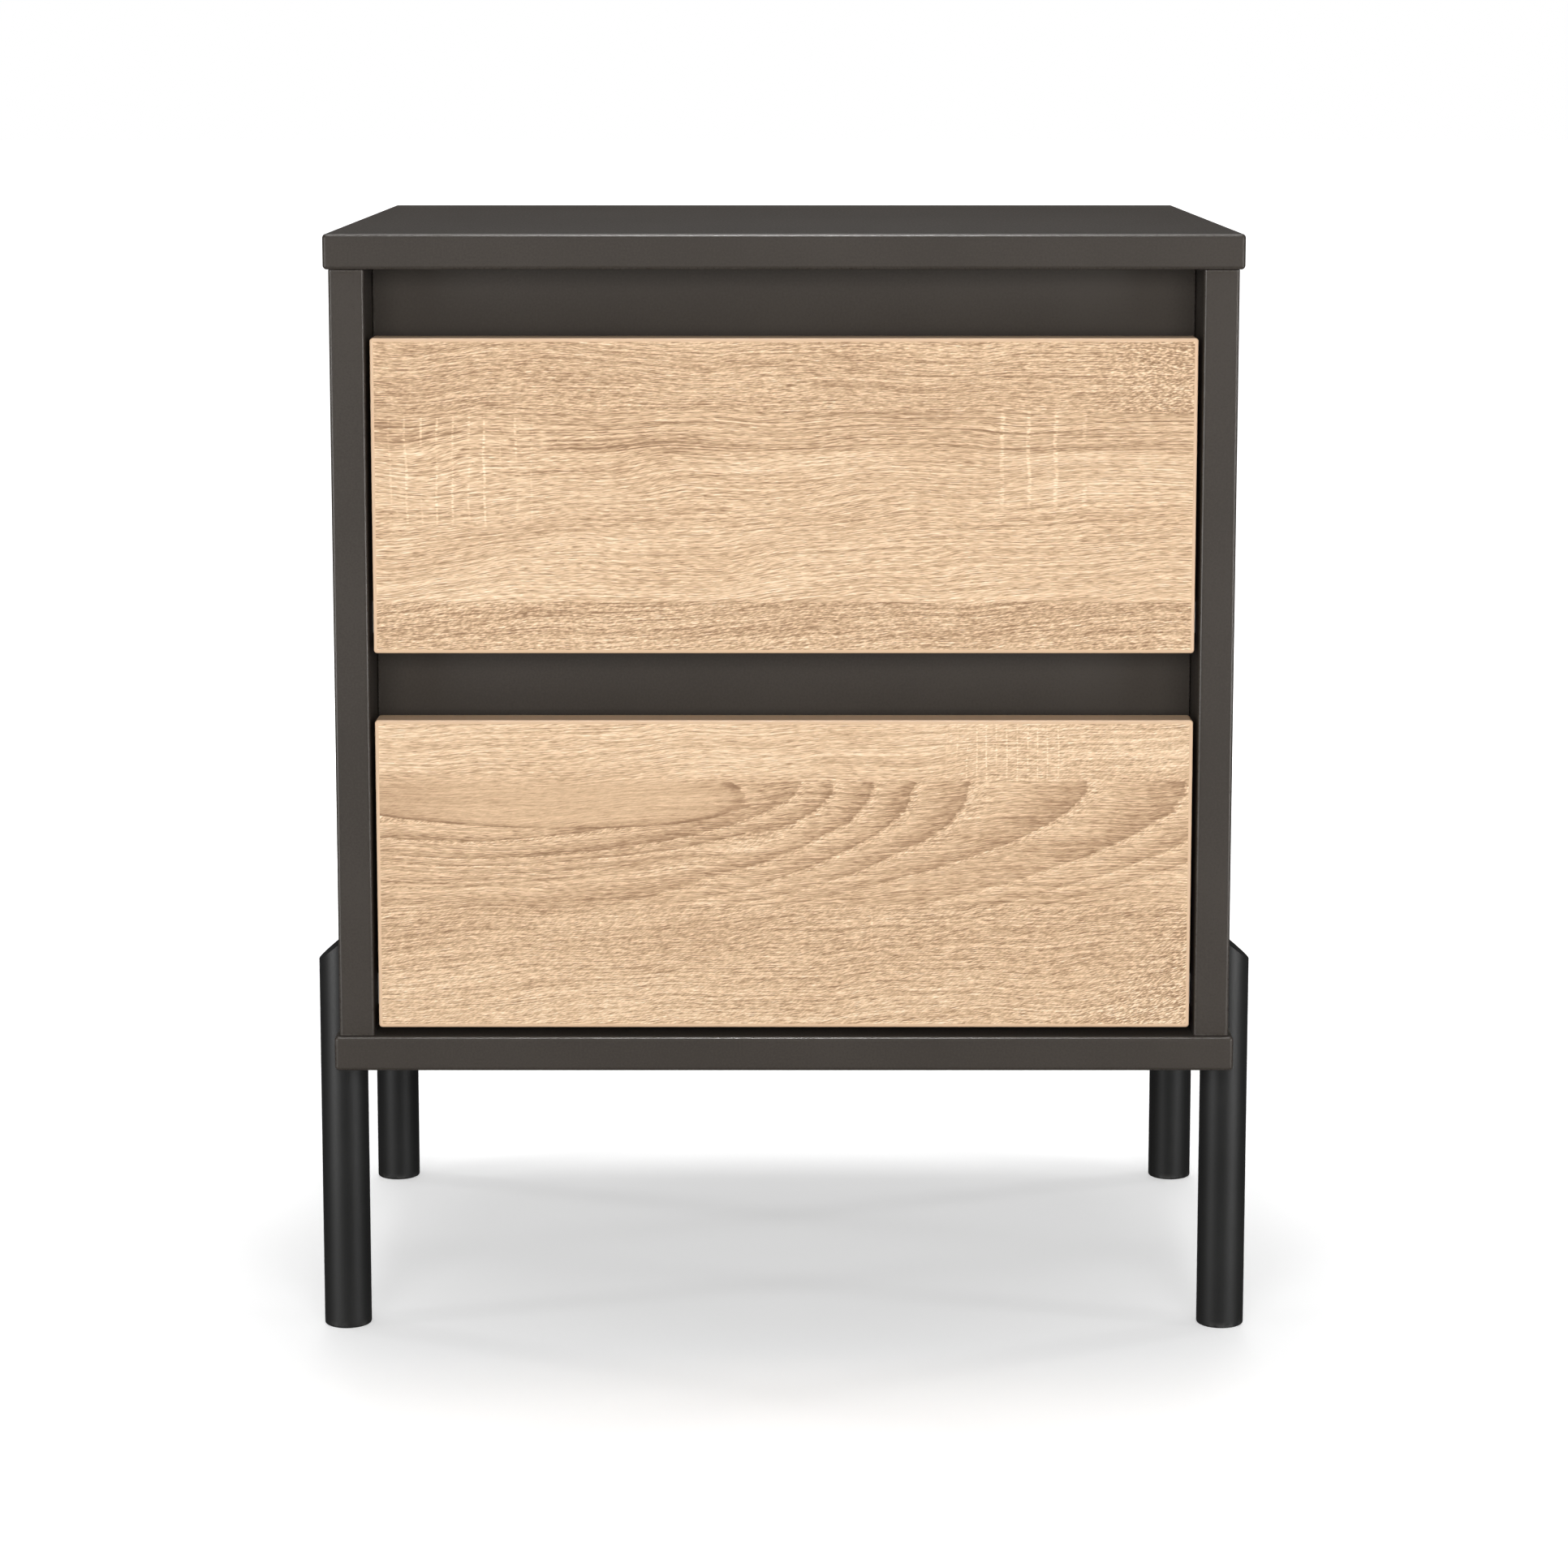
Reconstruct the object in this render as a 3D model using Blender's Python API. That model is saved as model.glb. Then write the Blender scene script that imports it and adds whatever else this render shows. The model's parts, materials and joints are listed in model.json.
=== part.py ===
"""Nightstand with two drawers.

A carcass of 18 mm boards stands on four round legs, each notched so that it carries
the bottom panel and runs on up the outside of a side panel. Two drawers hang on roller
runners, and a fixed finger rail sits back behind the gap above each drawer front.

Metres, +Z up. The origin is on the floor under the middle of the nightstand, and the
drawer fronts face -Y. "left" is the -X side.
"""

import math

import bmesh
import bpy
from mathutils import Vector

# ---------------------------------------------------------------- driving dimensions

WIDTH = 0.465               # top panel, left to right
DEPTH = 0.400               # top panel, front to back
HEIGHT = 0.582
BOARD = 0.018               # every carcass board and drawer front
OVERHANG = 0.0025           # top and bottom panels past the sides and the front
GAP = 0.0003                # left between pieces that touch

PANEL_RADIUS = 0.002        # rounded edges of the top and bottom panels
SIDE_RADIUS = 0.0018        # front edges of the side panels
FRONT_RADIUS = 0.0013       # edging of the drawer fronts
BEVEL_STEPS = 3

LEG_DIAMETER = 0.025
LEG_HEIGHT = 0.1505         # floor to the underside of the bottom panel
LEG_CENTRE_X = 0.233
LEG_CENTRE_Y = 0.1478
LEG_TOP = 0.2116            # where the sloping cut meets the side panel
LEG_SLOPE = math.radians(38.9)
LEG_FOOT_CHAMFER = 0.0008
LEG_SEGMENTS = 48

FRONT_HEIGHT = 0.161        # one drawer front
FRONT_SIDE_GAP = 0.0025     # between a front and each side panel
FRONT_LOW_GAP = 0.0045      # between the lower front and the bottom panel
FINGER_GAP = 0.0345         # open height above each front
RAIL_SETBACK = 0.0418       # finger rail behind the side panels' front edges
TOP_RAIL_HEIGHT = 0.054
MIDDLE_RAIL_DROP = 0.020    # middle rail below the lower front's top edge
MIDDLE_RAIL_RISE = 0.0055   # middle rail above the upper front's bottom edge

SHEET = 0.003               # hardboard of the back and of the drawer bases
GROOVE_DEPTH = 0.006
BACK_INSET = 0.015          # back panel's rear face in from the carcass's rear edge

BOX_BOARD = 0.012
BOX_HEIGHT = 0.124
BOX_LENGTH = 0.350
BOX_RISE = 0.0095           # drawer box above its front's bottom edge
BASE_RISE = 0.008           # drawer base above the box's bottom edge
RUNNER_SPACE = 0.0127       # between a drawer box and the side panel

STEEL = 0.0012              # sheet thickness of the runners
RUNNER_LENGTH = 0.350
RUNNER_SETBACK = 0.020      # runner behind the side panels' front edges
CHANNEL_HEIGHT = 0.0192     # cabinet runner, outside
CHANNEL_WIDTH = 0.0101
LIP_DROP = 0.003            # cabinet runner's underside below the drawer box
ROLLER_RADIUS = 0.008
ROLLER_BORE = 0.0025
ROLLER_WIDTH = 0.006
ROLLER_SEGMENTS = 28
STUD_RADIUS = 0.0022
STUD_HEAD_RADIUS = 0.0037
STUD_HEAD = 0.001
CABINET_STUD = 0.0093       # from the cabinet runner's web
DRAWER_STUD = 0.0092        # from the drawer runner's upright
ROLLER_TO_WEB = 0.0019
ROLLER_TO_UPRIGHT = 0.0014
FLANGE_RISE = 0.001         # drawer runner's flange above the cabinet runner
FLANGE_INSET = 0.003        # drawer runner's flange short of the side panel
LIP_RISE = 0.0015           # drawer runner's lip above the cabinet runner's underside
FRONT_ROLLER_Y = 0.0145     # cabinet roller behind the runner's front end
REAR_ROLLER_Y = 0.0095      # drawer roller ahead of the runner's rear end
ROLLER_CUT_Y = 0.0275       # upper flange starts this far behind the front end

SCREW_SEGMENTS = 12
SCREW_HEAD_FLAT = 0.0004    # straight rim of a countersunk head
SCREW_TIP = 0.003
HOLE_RUN_OUT = 0.001        # a hole's cutter starts this far outside the board
RECESS_WIDTH = 0.0009       # cross recess in a screw head
RECESS_REACH = 0.55         # half its length, of the head's radius
RECESS_DEPTH = 0.6          # of the head's depth

# ---------------------------------------------------------------- worked out from them

SIDE_OUTER = WIDTH / 2 - OVERHANG
SIDE_INNER = SIDE_OUTER - BOARD
FRONT_PLANE = -DEPTH / 2 + OVERHANG
REAR_PLANE = DEPTH / 2
TOP_UNDERSIDE = HEIGHT - BOARD
BOTTOM_TOP = LEG_HEIGHT + BOARD
LOWER_FRONT_Z = BOTTOM_TOP + FRONT_LOW_GAP
UPPER_FRONT_Z = LOWER_FRONT_Z + FRONT_HEIGHT + FINGER_GAP
FRONT_HALF_WIDTH = SIDE_INNER - FRONT_SIDE_GAP
FRONT_BACK_Y = FRONT_PLANE + BOARD
RAIL_Y = FRONT_PLANE + RAIL_SETBACK
BACK_Y = REAR_PLANE - BACK_INSET - SHEET
BOX_OUTER = SIDE_INNER - RUNNER_SPACE
BOX_INNER = BOX_OUTER - BOX_BOARD
BOX_FRONT_Y = FRONT_BACK_Y + GAP
BOX_BACK_Y = BOX_FRONT_Y + BOX_LENGTH
RUNNER_FRONT_Y = FRONT_PLANE + RUNNER_SETBACK
RUNNER_BACK_Y = RUNNER_FRONT_Y + RUNNER_LENGTH

# A screw is (head radius, head depth, shank radius, length).
LEG_SCREW = (0.0040, 0.0024, 0.0020, 0.0265)
FRONT_SCREW = (0.0038, 0.0024, 0.0019, 0.0245)
JOINT_SCREW = (0.0048, 0.0030, 0.0032, 0.0500)
LEG_SCREW_HEIGHTS = (0.1745, 0.1900)
FRONT_SCREW_X = 0.110
JOINT_SCREW_Y = 0.100
DOWEL_RADIUS = 0.004
DOWEL_LENGTH = 0.030
DOWEL_IN_TOP = 0.012
DOWEL_Y = 0.120
DOWEL_CHAMFER = 0.0008

# Colour, roughness and metallic value of each material.
FINISHES = {
    "graphite_board": ((0.060, 0.054, 0.048), 0.42, 0.0),
    "oak_front": ((0.600, 0.430, 0.262), 0.45, 0.0),
    "black_leg": ((0.016, 0.016, 0.015), 0.38, 0.0),
    "drawer_board": ((0.700, 0.690, 0.660), 0.50, 0.0),
    "hardboard": ((0.560, 0.540, 0.500), 0.55, 0.0),
    "coated_steel": ((0.780, 0.780, 0.760), 0.35, 0.0),
    "nylon": ((0.850, 0.850, 0.820), 0.40, 0.0),
    "zinc_steel": ((0.620, 0.630, 0.640), 0.30, 1.0),
    "beech_dowel": ((0.640, 0.450, 0.280), 0.60, 0.0),
}


# ---------------------------------------------------------------- helpers

def make_material(name):
    """One Principled material from the table of finishes."""
    colour, roughness, metallic = FINISHES[name]
    material = bpy.data.materials.new(name)
    material.use_nodes = True
    shader = material.node_tree.nodes["Principled BSDF"]
    shader.inputs["Base Color"].default_value = (*colour, 1.0)
    shader.inputs["Roughness"].default_value = roughness
    shader.inputs["Metallic"].default_value = metallic
    material.diffuse_color = (*colour, 1.0)
    return material


def add_object(name, work, place, finish, parent=None):
    """Turn a bmesh into an object at a world place, under a parent if it moves."""
    bmesh.ops.recalc_face_normals(work, faces=work.faces)
    mesh = bpy.data.meshes.new(name)
    work.to_mesh(mesh)
    work.free()
    piece = bpy.data.objects.new(name, mesh)
    bpy.context.collection.objects.link(piece)
    piece.location = place
    if parent is not None:
        piece.parent = parent
        piece.location = Vector(place) - parent.location
    if finish is None:
        piece.hide_render = True
        piece.display_type = "WIRE"
    else:
        mesh.materials.append(materials[finish])
    return piece


def block(name, low, high, finish, parent=None, radius=0.0, rounded=None):
    """A board between two corners; rounded(edge) says which edges are rounded."""
    low, high = Vector(low), Vector(high)
    size = high - low
    work = bmesh.new()
    bmesh.ops.create_cube(work, size=1.0)
    bmesh.ops.scale(work, vec=size, verts=work.verts)
    if radius:
        edges = [edge for edge in work.edges if rounded is None or rounded(edge)]
        bmesh.ops.bevel(work, geom=edges, offset=radius, segments=BEVEL_STEPS,
                        profile=0.5, affect="EDGES", clamp_overlap=True)
    return add_object(name, work, (low + high) / 2, finish, parent)


def cutter(name, low, high):
    """A box that only cuts."""
    return block(name, low, high, None)


def turned(name, profile, place, axis, finish, segments, parent=None, closed=False):
    """Turn (radius, distance along the axis) points into a round solid about an axis.

    A closed profile makes a ring; an open one starts and ends on the axis.
    """
    work = bmesh.new()
    turn = Vector((0, 0, 1)).rotation_difference(Vector(axis)).to_matrix()
    rings = []
    for radius, along in profile:
        if radius == 0:
            rings.append([work.verts.new(turn @ Vector((0, 0, along)))])
            continue
        ring = []
        for step in range(segments):
            angle = 2 * math.pi * (step + 0.5) / segments
            point = Vector((radius * math.cos(angle), radius * math.sin(angle), along))
            ring.append(work.verts.new(turn @ point))
        rings.append(ring)
    pairs = list(zip(rings, rings[1:]))
    if closed:
        pairs.append((rings[-1], rings[0]))
    for first, second in pairs:
        for step in range(segments):
            following = (step + 1) % segments
            corners = [first[step % len(first)], first[following % len(first)],
                       second[following % len(second)], second[step % len(second)]]
            work.faces.new(list(dict.fromkeys(corners)))
    piece = add_object(name, work, place, finish, parent)
    piece.data.shade_smooth()
    piece.data.set_sharp_from_angle(angle=math.radians(35))
    return piece


def extruded(name, outline, low_y, high_y, place, finish, parent=None):
    """Extrude an (x, z) outline from low_y to high_y."""
    work = bmesh.new()
    face = work.faces.new([work.verts.new((x, low_y, z)) for x, z in outline])
    grown = bmesh.ops.extrude_face_region(work, geom=[face])
    moved = [item for item in grown["geom"] if isinstance(item, bmesh.types.BMVert)]
    bmesh.ops.translate(work, vec=(0, high_y - low_y, 0), verts=moved)
    return add_object(name, work, place, finish, parent)


def combine(piece, other, operation="DIFFERENCE"):
    """Cut another solid out of a piece, or join it on."""
    modifier = piece.modifiers.new(f"{operation.lower()}_{other.name}"[:60], "BOOLEAN")
    modifier.operation = operation
    modifier.solver = "EXACT"
    modifier.object = other


def empty(name, place):
    """An empty that carries the pieces of one drawer."""
    holder = bpy.data.objects.new(name, None)
    bpy.context.collection.objects.link(holder)
    holder.location = place
    return holder


def screw(name, kind, place, axis, targets, parent=None):
    """A countersunk screw with a cross recess, and the hole it needs in each target."""
    head_radius, head_depth, shank_radius, length = kind
    place, axis = Vector(place), Vector(axis)
    profile = [(0, 0), (head_radius, 0), (head_radius, SCREW_HEAD_FLAT),
               (shank_radius, head_depth), (shank_radius, length - SCREW_TIP), (0, length)]
    piece = turned(name, profile, place + axis * GAP, axis, "zinc_steel", SCREW_SEGMENTS,
                   parent)
    hole_head, hole_shank = head_radius + GAP, shank_radius + GAP
    hole_profile = [(0, -HOLE_RUN_OUT), (hole_head, -HOLE_RUN_OUT),
                    (hole_head, SCREW_HEAD_FLAT + GAP), (hole_shank, head_depth + GAP),
                    (hole_shank, length - SCREW_TIP + GAP), (0, length + 3 * GAP)]
    hole = turned(f"{name}_hole", hole_profile, place, axis, None, SCREW_SEGMENTS)
    for target in targets:
        combine(target, hole)
    recess_half = (head_radius * RECESS_REACH, RECESS_WIDTH / 2, head_depth * RECESS_DEPTH)
    middle = place + axis * GAP
    across = axis.orthogonal().normalized()
    for number, along in enumerate((across, axis.cross(across))):
        spans = zip((along, axis.cross(along), axis), recess_half)
        half = sum((Vector(map(abs, line)) * reach for line, reach in spans), Vector())
        combine(piece, cutter(f"{name}_recess_{number}", middle - half, middle + half))


def side_sign(side):
    """-1 on the left, +1 on the right."""
    return -1 if side == "left" else 1


def span(side, inner, outer):
    """Order two distances from the middle as low and high x on one side."""
    sign = side_sign(side)
    return sorted((sign * inner, sign * outer))


# ---------------------------------------------------------------- carcass

def make_panels():
    """Top, bottom, sides and back, with the back panel held in grooves."""
    half_width, half_depth = WIDTH / 2, DEPTH / 2
    top = block("top_panel", (-half_width, -half_depth, TOP_UNDERSIDE),
                (half_width, half_depth, HEIGHT), "graphite_board", radius=PANEL_RADIUS)
    bottom = block("bottom_panel", (-half_width, -half_depth, LEG_HEIGHT),
                   (half_width, half_depth, BOTTOM_TOP), "graphite_board",
                   radius=PANEL_RADIUS)

    def front_upright(edge):
        """True for the two upright edges on the front face."""
        return all(vert.co.y < 0 for vert in edge.verts) and \
            abs(edge.verts[0].co.z - edge.verts[1].co.z) > BOARD

    sides = {}
    for side in ("left", "right"):
        low_x, high_x = span(side, SIDE_INNER, SIDE_OUTER)
        sides[side] = block(f"{side}_side_panel", (low_x, FRONT_PLANE, BOTTOM_TOP + GAP),
                            (high_x, REAR_PLANE, TOP_UNDERSIDE - GAP), "graphite_board",
                            radius=SIDE_RADIUS, rounded=front_upright)
    reach_x = SIDE_INNER + GROOVE_DEPTH
    low_z, high_z = BOTTOM_TOP - GROOVE_DEPTH, TOP_UNDERSIDE + GROOVE_DEPTH
    block("back_panel", (-reach_x + GAP, BACK_Y, low_z + GAP),
          (reach_x - GAP, BACK_Y + SHEET, high_z - GAP), "hardboard")
    groove = cutter("back_groove", (-reach_x, BACK_Y - GAP, low_z),
                    (reach_x, BACK_Y + SHEET + GAP, high_z))
    for board in (top, bottom, *sides.values()):
        combine(board, groove)
    return top, bottom, sides


def make_finger_rails():
    """The two fixed rails that close the cabinet behind the finger gaps."""
    lower_front_top = LOWER_FRONT_Z + FRONT_HEIGHT
    heights = {
        "top_finger_rail": (TOP_UNDERSIDE - TOP_RAIL_HEIGHT, TOP_UNDERSIDE - GAP),
        "middle_finger_rail": (lower_front_top - MIDDLE_RAIL_DROP,
                               UPPER_FRONT_Z + MIDDLE_RAIL_RISE),
    }
    for name, (low_z, high_z) in heights.items():
        block(name, (-SIDE_INNER + GAP, RAIL_Y, low_z),
              (SIDE_INNER - GAP, RAIL_Y + BOARD, high_z), "graphite_board")


def make_leg(name, side, centre_y, side_panel):
    """A round leg notched round the bottom panel, cut to slope away at its top."""
    sign = side_sign(side)
    radius = LEG_DIAMETER / 2
    blank = LEG_TOP + LEG_DIAMETER
    profile = [(0, 0), (radius - LEG_FOOT_CHAMFER, 0), (radius, LEG_FOOT_CHAMFER),
               (radius, blank), (0, blank)]
    leg = turned(name, profile, (sign * LEG_CENTRE_X, centre_y, 0), (0, 0, 1),
                 "black_leg", LEG_SEGMENTS)
    shoulder = LEG_HEIGHT - GAP
    low_x, high_x = span(side, SIDE_INNER, SIDE_OUTER + GAP)
    combine(leg, cutter(f"{name}_side_notch", (low_x, centre_y - LEG_DIAMETER, shoulder),
                        (high_x, centre_y + LEG_DIAMETER, blank + BOARD)))
    low_x, high_x = span(side, SIDE_INNER, WIDTH / 2 + GAP)
    combine(leg, cutter(f"{name}_panel_notch", (low_x, centre_y - LEG_DIAMETER, shoulder),
                        (high_x, centre_y + LEG_DIAMETER, BOTTOM_TOP + GAP)))
    reach = 2 * LEG_DIAMETER
    slope = cutter(f"{name}_slope_cut", (-reach, -reach, -reach), (reach, reach, reach))
    tilt = sign * LEG_SLOPE
    slope.rotation_euler = (0, tilt, 0)
    slope.location = (sign * SIDE_OUTER + reach * math.sin(tilt), centre_y,
                      LEG_TOP + reach * math.cos(tilt))
    combine(leg, slope)
    for number, height in enumerate(LEG_SCREW_HEIGHTS, start=1):
        screw(f"{name}_screw_{number}", LEG_SCREW, (sign * SIDE_INNER, centre_y, height),
              (sign, 0, 0), (side_panel, leg))


def make_joinery(top, bottom, sides):
    """Screws up through the bottom panel and dowels down from the top panel."""
    middle_x = (SIDE_INNER + SIDE_OUTER) / 2
    for side, panel in sides.items():
        x = side_sign(side) * middle_x
        for end, sign_y in (("front", -1), ("rear", 1)):
            screw(f"{end}_{side}_joint_screw", JOINT_SCREW,
                  (x, sign_y * JOINT_SCREW_Y, LEG_HEIGHT), (0, 0, 1), (bottom, panel))
            low_z = TOP_UNDERSIDE + DOWEL_IN_TOP - DOWEL_LENGTH
            place = (x, sign_y * DOWEL_Y, low_z)
            rim = DOWEL_RADIUS - DOWEL_CHAMFER
            profile = [(0, 0), (rim, 0), (DOWEL_RADIUS, DOWEL_CHAMFER),
                       (DOWEL_RADIUS, DOWEL_LENGTH - DOWEL_CHAMFER),
                       (rim, DOWEL_LENGTH), (0, DOWEL_LENGTH)]
            name = f"{end}_{side}_top_dowel"
            turned(name, profile, place, (0, 0, 1), "beech_dowel", SCREW_SEGMENTS)
            hole_radius = DOWEL_RADIUS + GAP
            hole_profile = [(0, -GAP), (hole_radius, -GAP),
                            (hole_radius, DOWEL_LENGTH + GAP), (0, DOWEL_LENGTH + GAP)]
            hole = turned(f"{name}_hole", hole_profile, place, (0, 0, 1), None,
                          SCREW_SEGMENTS)
            combine(top, hole)
            combine(panel, hole)


# ---------------------------------------------------------------- runners

def stud(name, runner, side, place, length):
    """A riveted stud with a head, joined to a runner; the roller turns on it."""
    sign = side_sign(side)
    start = -STEEL / 2
    profile = [(0, start), (STUD_RADIUS, start), (STUD_RADIUS, length - STUD_HEAD),
               (STUD_HEAD_RADIUS, length - STUD_HEAD), (STUD_HEAD_RADIUS, length),
               (0, length)]
    axis = (sign, 0, 0)
    shape = turned(f"{name}_stud", profile, place, axis, None, SCREW_SEGMENTS)
    combine(runner, shape, "UNION")


def roller(name, place, parent=None):
    """A nylon roller on the X axis with its origin at its centre."""
    half, ease = ROLLER_WIDTH / 2, 0.0005
    profile = [(ROLLER_BORE, -half), (ROLLER_RADIUS - ease, -half),
               (ROLLER_RADIUS, ease - half), (ROLLER_RADIUS, half - ease),
               (ROLLER_RADIUS - ease, half), (ROLLER_BORE, half)]
    return turned(name, profile, place, (1, 0, 0), "nylon", ROLLER_SEGMENTS, parent,
                  closed=True)


def make_cabinet_runner(drawer, side, channel_z):
    """A steel channel on the side panel, with a fixed roller at its front end."""
    sign = side_sign(side)
    name = f"{drawer}_{side}_cabinet_runner"
    outer = SIDE_INNER - GAP
    inner = outer - CHANNEL_WIDTH
    outline = [(outer, 0), (inner, 0), (inner, STEEL), (outer - STEEL, STEEL),
               (outer - STEEL, CHANNEL_HEIGHT - STEEL), (inner, CHANNEL_HEIGHT - STEEL),
               (inner, CHANNEL_HEIGHT), (outer, CHANNEL_HEIGHT)]
    runner = extruded(name, [(sign * x, z) for x, z in outline], RUNNER_FRONT_Y,
                      RUNNER_BACK_Y, (0, 0, channel_z), "coated_steel")
    roller_y = RUNNER_FRONT_Y + FRONT_ROLLER_Y
    roller_z = channel_z + CHANNEL_HEIGHT + FLANGE_RISE - GAP - ROLLER_RADIUS
    low_x, high_x = span(side, BOX_OUTER, outer - STEEL)
    combine(runner, cutter(f"{name}_front_cut",
                           (low_x, RUNNER_FRONT_Y - BOARD, channel_z + CHANNEL_HEIGHT / 2),
                           (high_x, RUNNER_FRONT_Y + ROLLER_CUT_Y,
                            channel_z + CHANNEL_HEIGHT + BOARD)))
    web = outer - STEEL
    stud(name, runner, "left" if side == "right" else "right",
         (sign * web, roller_y, roller_z), CABINET_STUD)
    roller(f"{drawer}_{side}_cabinet_roller",
           (sign * (web - ROLLER_TO_WEB - ROLLER_WIDTH / 2), roller_y, roller_z))


def make_drawer_runner(drawer, side, channel_z, parent):
    """An angled steel rail under the drawer side, with a roller at its rear end."""
    sign = side_sign(side)
    name = f"{drawer}_{side}_drawer_runner"
    inner = BOX_OUTER + GAP
    outer = inner + STEEL
    low, lip_top = LIP_RISE, LIP_RISE + STEEL
    top = CHANNEL_HEIGHT + FLANGE_RISE + STEEL
    flange = SIDE_INNER - FLANGE_INSET
    outline = [(BOX_INNER, low), (outer, low), (outer, top - STEEL), (flange, top - STEEL),
               (flange, top), (inner, top), (inner, lip_top), (BOX_INNER, lip_top)]
    runner = extruded(name, [(sign * x, z) for x, z in outline], RUNNER_FRONT_Y,
                      RUNNER_BACK_Y, (0, 0, channel_z), "coated_steel")
    runner.parent = parent
    runner.location = Vector((0, 0, channel_z)) - parent.location
    roller_y = RUNNER_BACK_Y - REAR_ROLLER_Y
    roller_z = channel_z + STEEL + GAP + ROLLER_RADIUS
    stud(name, runner, side, (sign * outer, roller_y, roller_z), DRAWER_STUD)
    roller(f"{drawer}_{side}_drawer_roller",
           (sign * (outer + ROLLER_TO_UPRIGHT + ROLLER_WIDTH / 2), roller_y, roller_z),
           parent)


# ---------------------------------------------------------------- drawers

def make_drawer(drawer, front_z):
    """One drawer: front, four box boards, base, runners and front screws."""
    holder = empty(f"{drawer}_drawer_slide",
                   (0, FRONT_PLANE, front_z + FRONT_HEIGHT / 2))
    front = block(f"{drawer}_drawer_front", (-FRONT_HALF_WIDTH, FRONT_PLANE, front_z),
                  (FRONT_HALF_WIDTH, FRONT_BACK_Y, front_z + FRONT_HEIGHT), "oak_front",
                  holder, radius=FRONT_RADIUS)
    low_z = front_z + BOX_RISE
    high_z = low_z + BOX_HEIGHT
    boards = []
    for side in ("left", "right"):
        low_x, high_x = span(side, BOX_INNER, BOX_OUTER)
        boards.append(block(f"{drawer}_drawer_{side}_side", (low_x, BOX_FRONT_Y, low_z),
                            (high_x, BOX_BACK_Y, high_z), "drawer_board", holder))
    end_x = BOX_INNER - GAP
    box_front = block(f"{drawer}_drawer_box_front", (-end_x, BOX_FRONT_Y, low_z),
                      (end_x, BOX_FRONT_Y + BOX_BOARD, high_z), "drawer_board", holder)
    box_back = block(f"{drawer}_drawer_box_back", (-end_x, BOX_BACK_Y - BOX_BOARD, low_z),
                     (end_x, BOX_BACK_Y, high_z), "drawer_board", holder)
    boards += [box_front, box_back]

    reach_x = BOX_INNER + GROOVE_DEPTH
    reach_front = BOX_FRONT_Y + BOX_BOARD - GROOVE_DEPTH
    reach_back = BOX_BACK_Y - BOX_BOARD + GROOVE_DEPTH
    base_z = low_z + BASE_RISE
    block(f"{drawer}_drawer_base", (-reach_x + GAP, reach_front + GAP, base_z),
          (reach_x - GAP, reach_back - GAP, base_z + SHEET), "hardboard", holder)
    groove = cutter(f"{drawer}_base_groove", (-reach_x, reach_front, base_z - GAP),
                    (reach_x, reach_back, base_z + SHEET + GAP))
    for board in boards:
        combine(board, groove)

    for side in ("left", "right"):
        place = (side_sign(side) * FRONT_SCREW_X, BOX_FRONT_Y + BOX_BOARD,
                 front_z + FRONT_HEIGHT / 2)
        screw(f"{drawer}_front_{side}_screw", FRONT_SCREW, place, (0, -1, 0),
              (box_front, front), parent=holder)

    channel_z = low_z - LIP_DROP
    for side in ("left", "right"):
        make_cabinet_runner(drawer, side, channel_z)
        make_drawer_runner(drawer, side, channel_z, holder)


# ---------------------------------------------------------------- build it

for old in list(bpy.data.objects):
    bpy.data.objects.remove(old, do_unlink=True)

materials = {name: make_material(name) for name in FINISHES}

top_panel, bottom_panel, side_panels = make_panels()
make_finger_rails()
for leg_side in ("left", "right"):
    for leg_end, leg_y in (("front", -LEG_CENTRE_Y), ("rear", LEG_CENTRE_Y)):
        make_leg(f"{leg_end}_{leg_side}_leg", leg_side, leg_y, side_panels[leg_side])
make_joinery(top_panel, bottom_panel, side_panels)
make_drawer("upper", UPPER_FRONT_Z)
make_drawer("lower", LOWER_FRONT_Z)
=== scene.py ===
# %% [markdown]
# # A nightstand with two drawers
# The nightstand is a graphite board carcass on four black legs, with two oak effect
# drawer fronts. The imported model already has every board, runner and screw in its place.
# This lesson gives those pieces their edges and finishes, and then lights them.

import functools
import json
import math

import bmesh
import bpy
from mathutils import Matrix, Vector


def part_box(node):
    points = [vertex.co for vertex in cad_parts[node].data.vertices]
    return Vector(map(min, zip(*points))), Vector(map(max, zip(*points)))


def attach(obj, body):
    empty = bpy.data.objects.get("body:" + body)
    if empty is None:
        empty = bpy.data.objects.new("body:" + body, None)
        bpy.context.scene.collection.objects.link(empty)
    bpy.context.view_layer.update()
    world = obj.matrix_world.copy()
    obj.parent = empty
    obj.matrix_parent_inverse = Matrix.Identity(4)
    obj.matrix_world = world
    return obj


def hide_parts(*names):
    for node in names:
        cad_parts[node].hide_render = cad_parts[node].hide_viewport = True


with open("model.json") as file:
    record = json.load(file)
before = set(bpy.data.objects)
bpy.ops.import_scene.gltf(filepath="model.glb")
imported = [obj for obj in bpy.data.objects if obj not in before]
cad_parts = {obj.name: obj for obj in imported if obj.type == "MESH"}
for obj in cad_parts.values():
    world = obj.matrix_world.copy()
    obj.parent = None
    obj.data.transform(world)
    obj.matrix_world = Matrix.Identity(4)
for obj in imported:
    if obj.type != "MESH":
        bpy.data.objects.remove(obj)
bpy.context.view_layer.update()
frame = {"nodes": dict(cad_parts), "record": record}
record = frame["record"]
NODE_BODY = {node: body for body, nodes in record["behaviour"]["bodies"].items() for node in nodes}
NODE_SLOT = {part["node"]: part["material_slot"] for part in record["subparts"]}
SIDES = (("left", -1), ("right", 1))
ENDS = ("front", "rear")
DRAWERS = ("upper", "lower")
print("pieces in the frame:", len(NODE_BODY))

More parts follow.
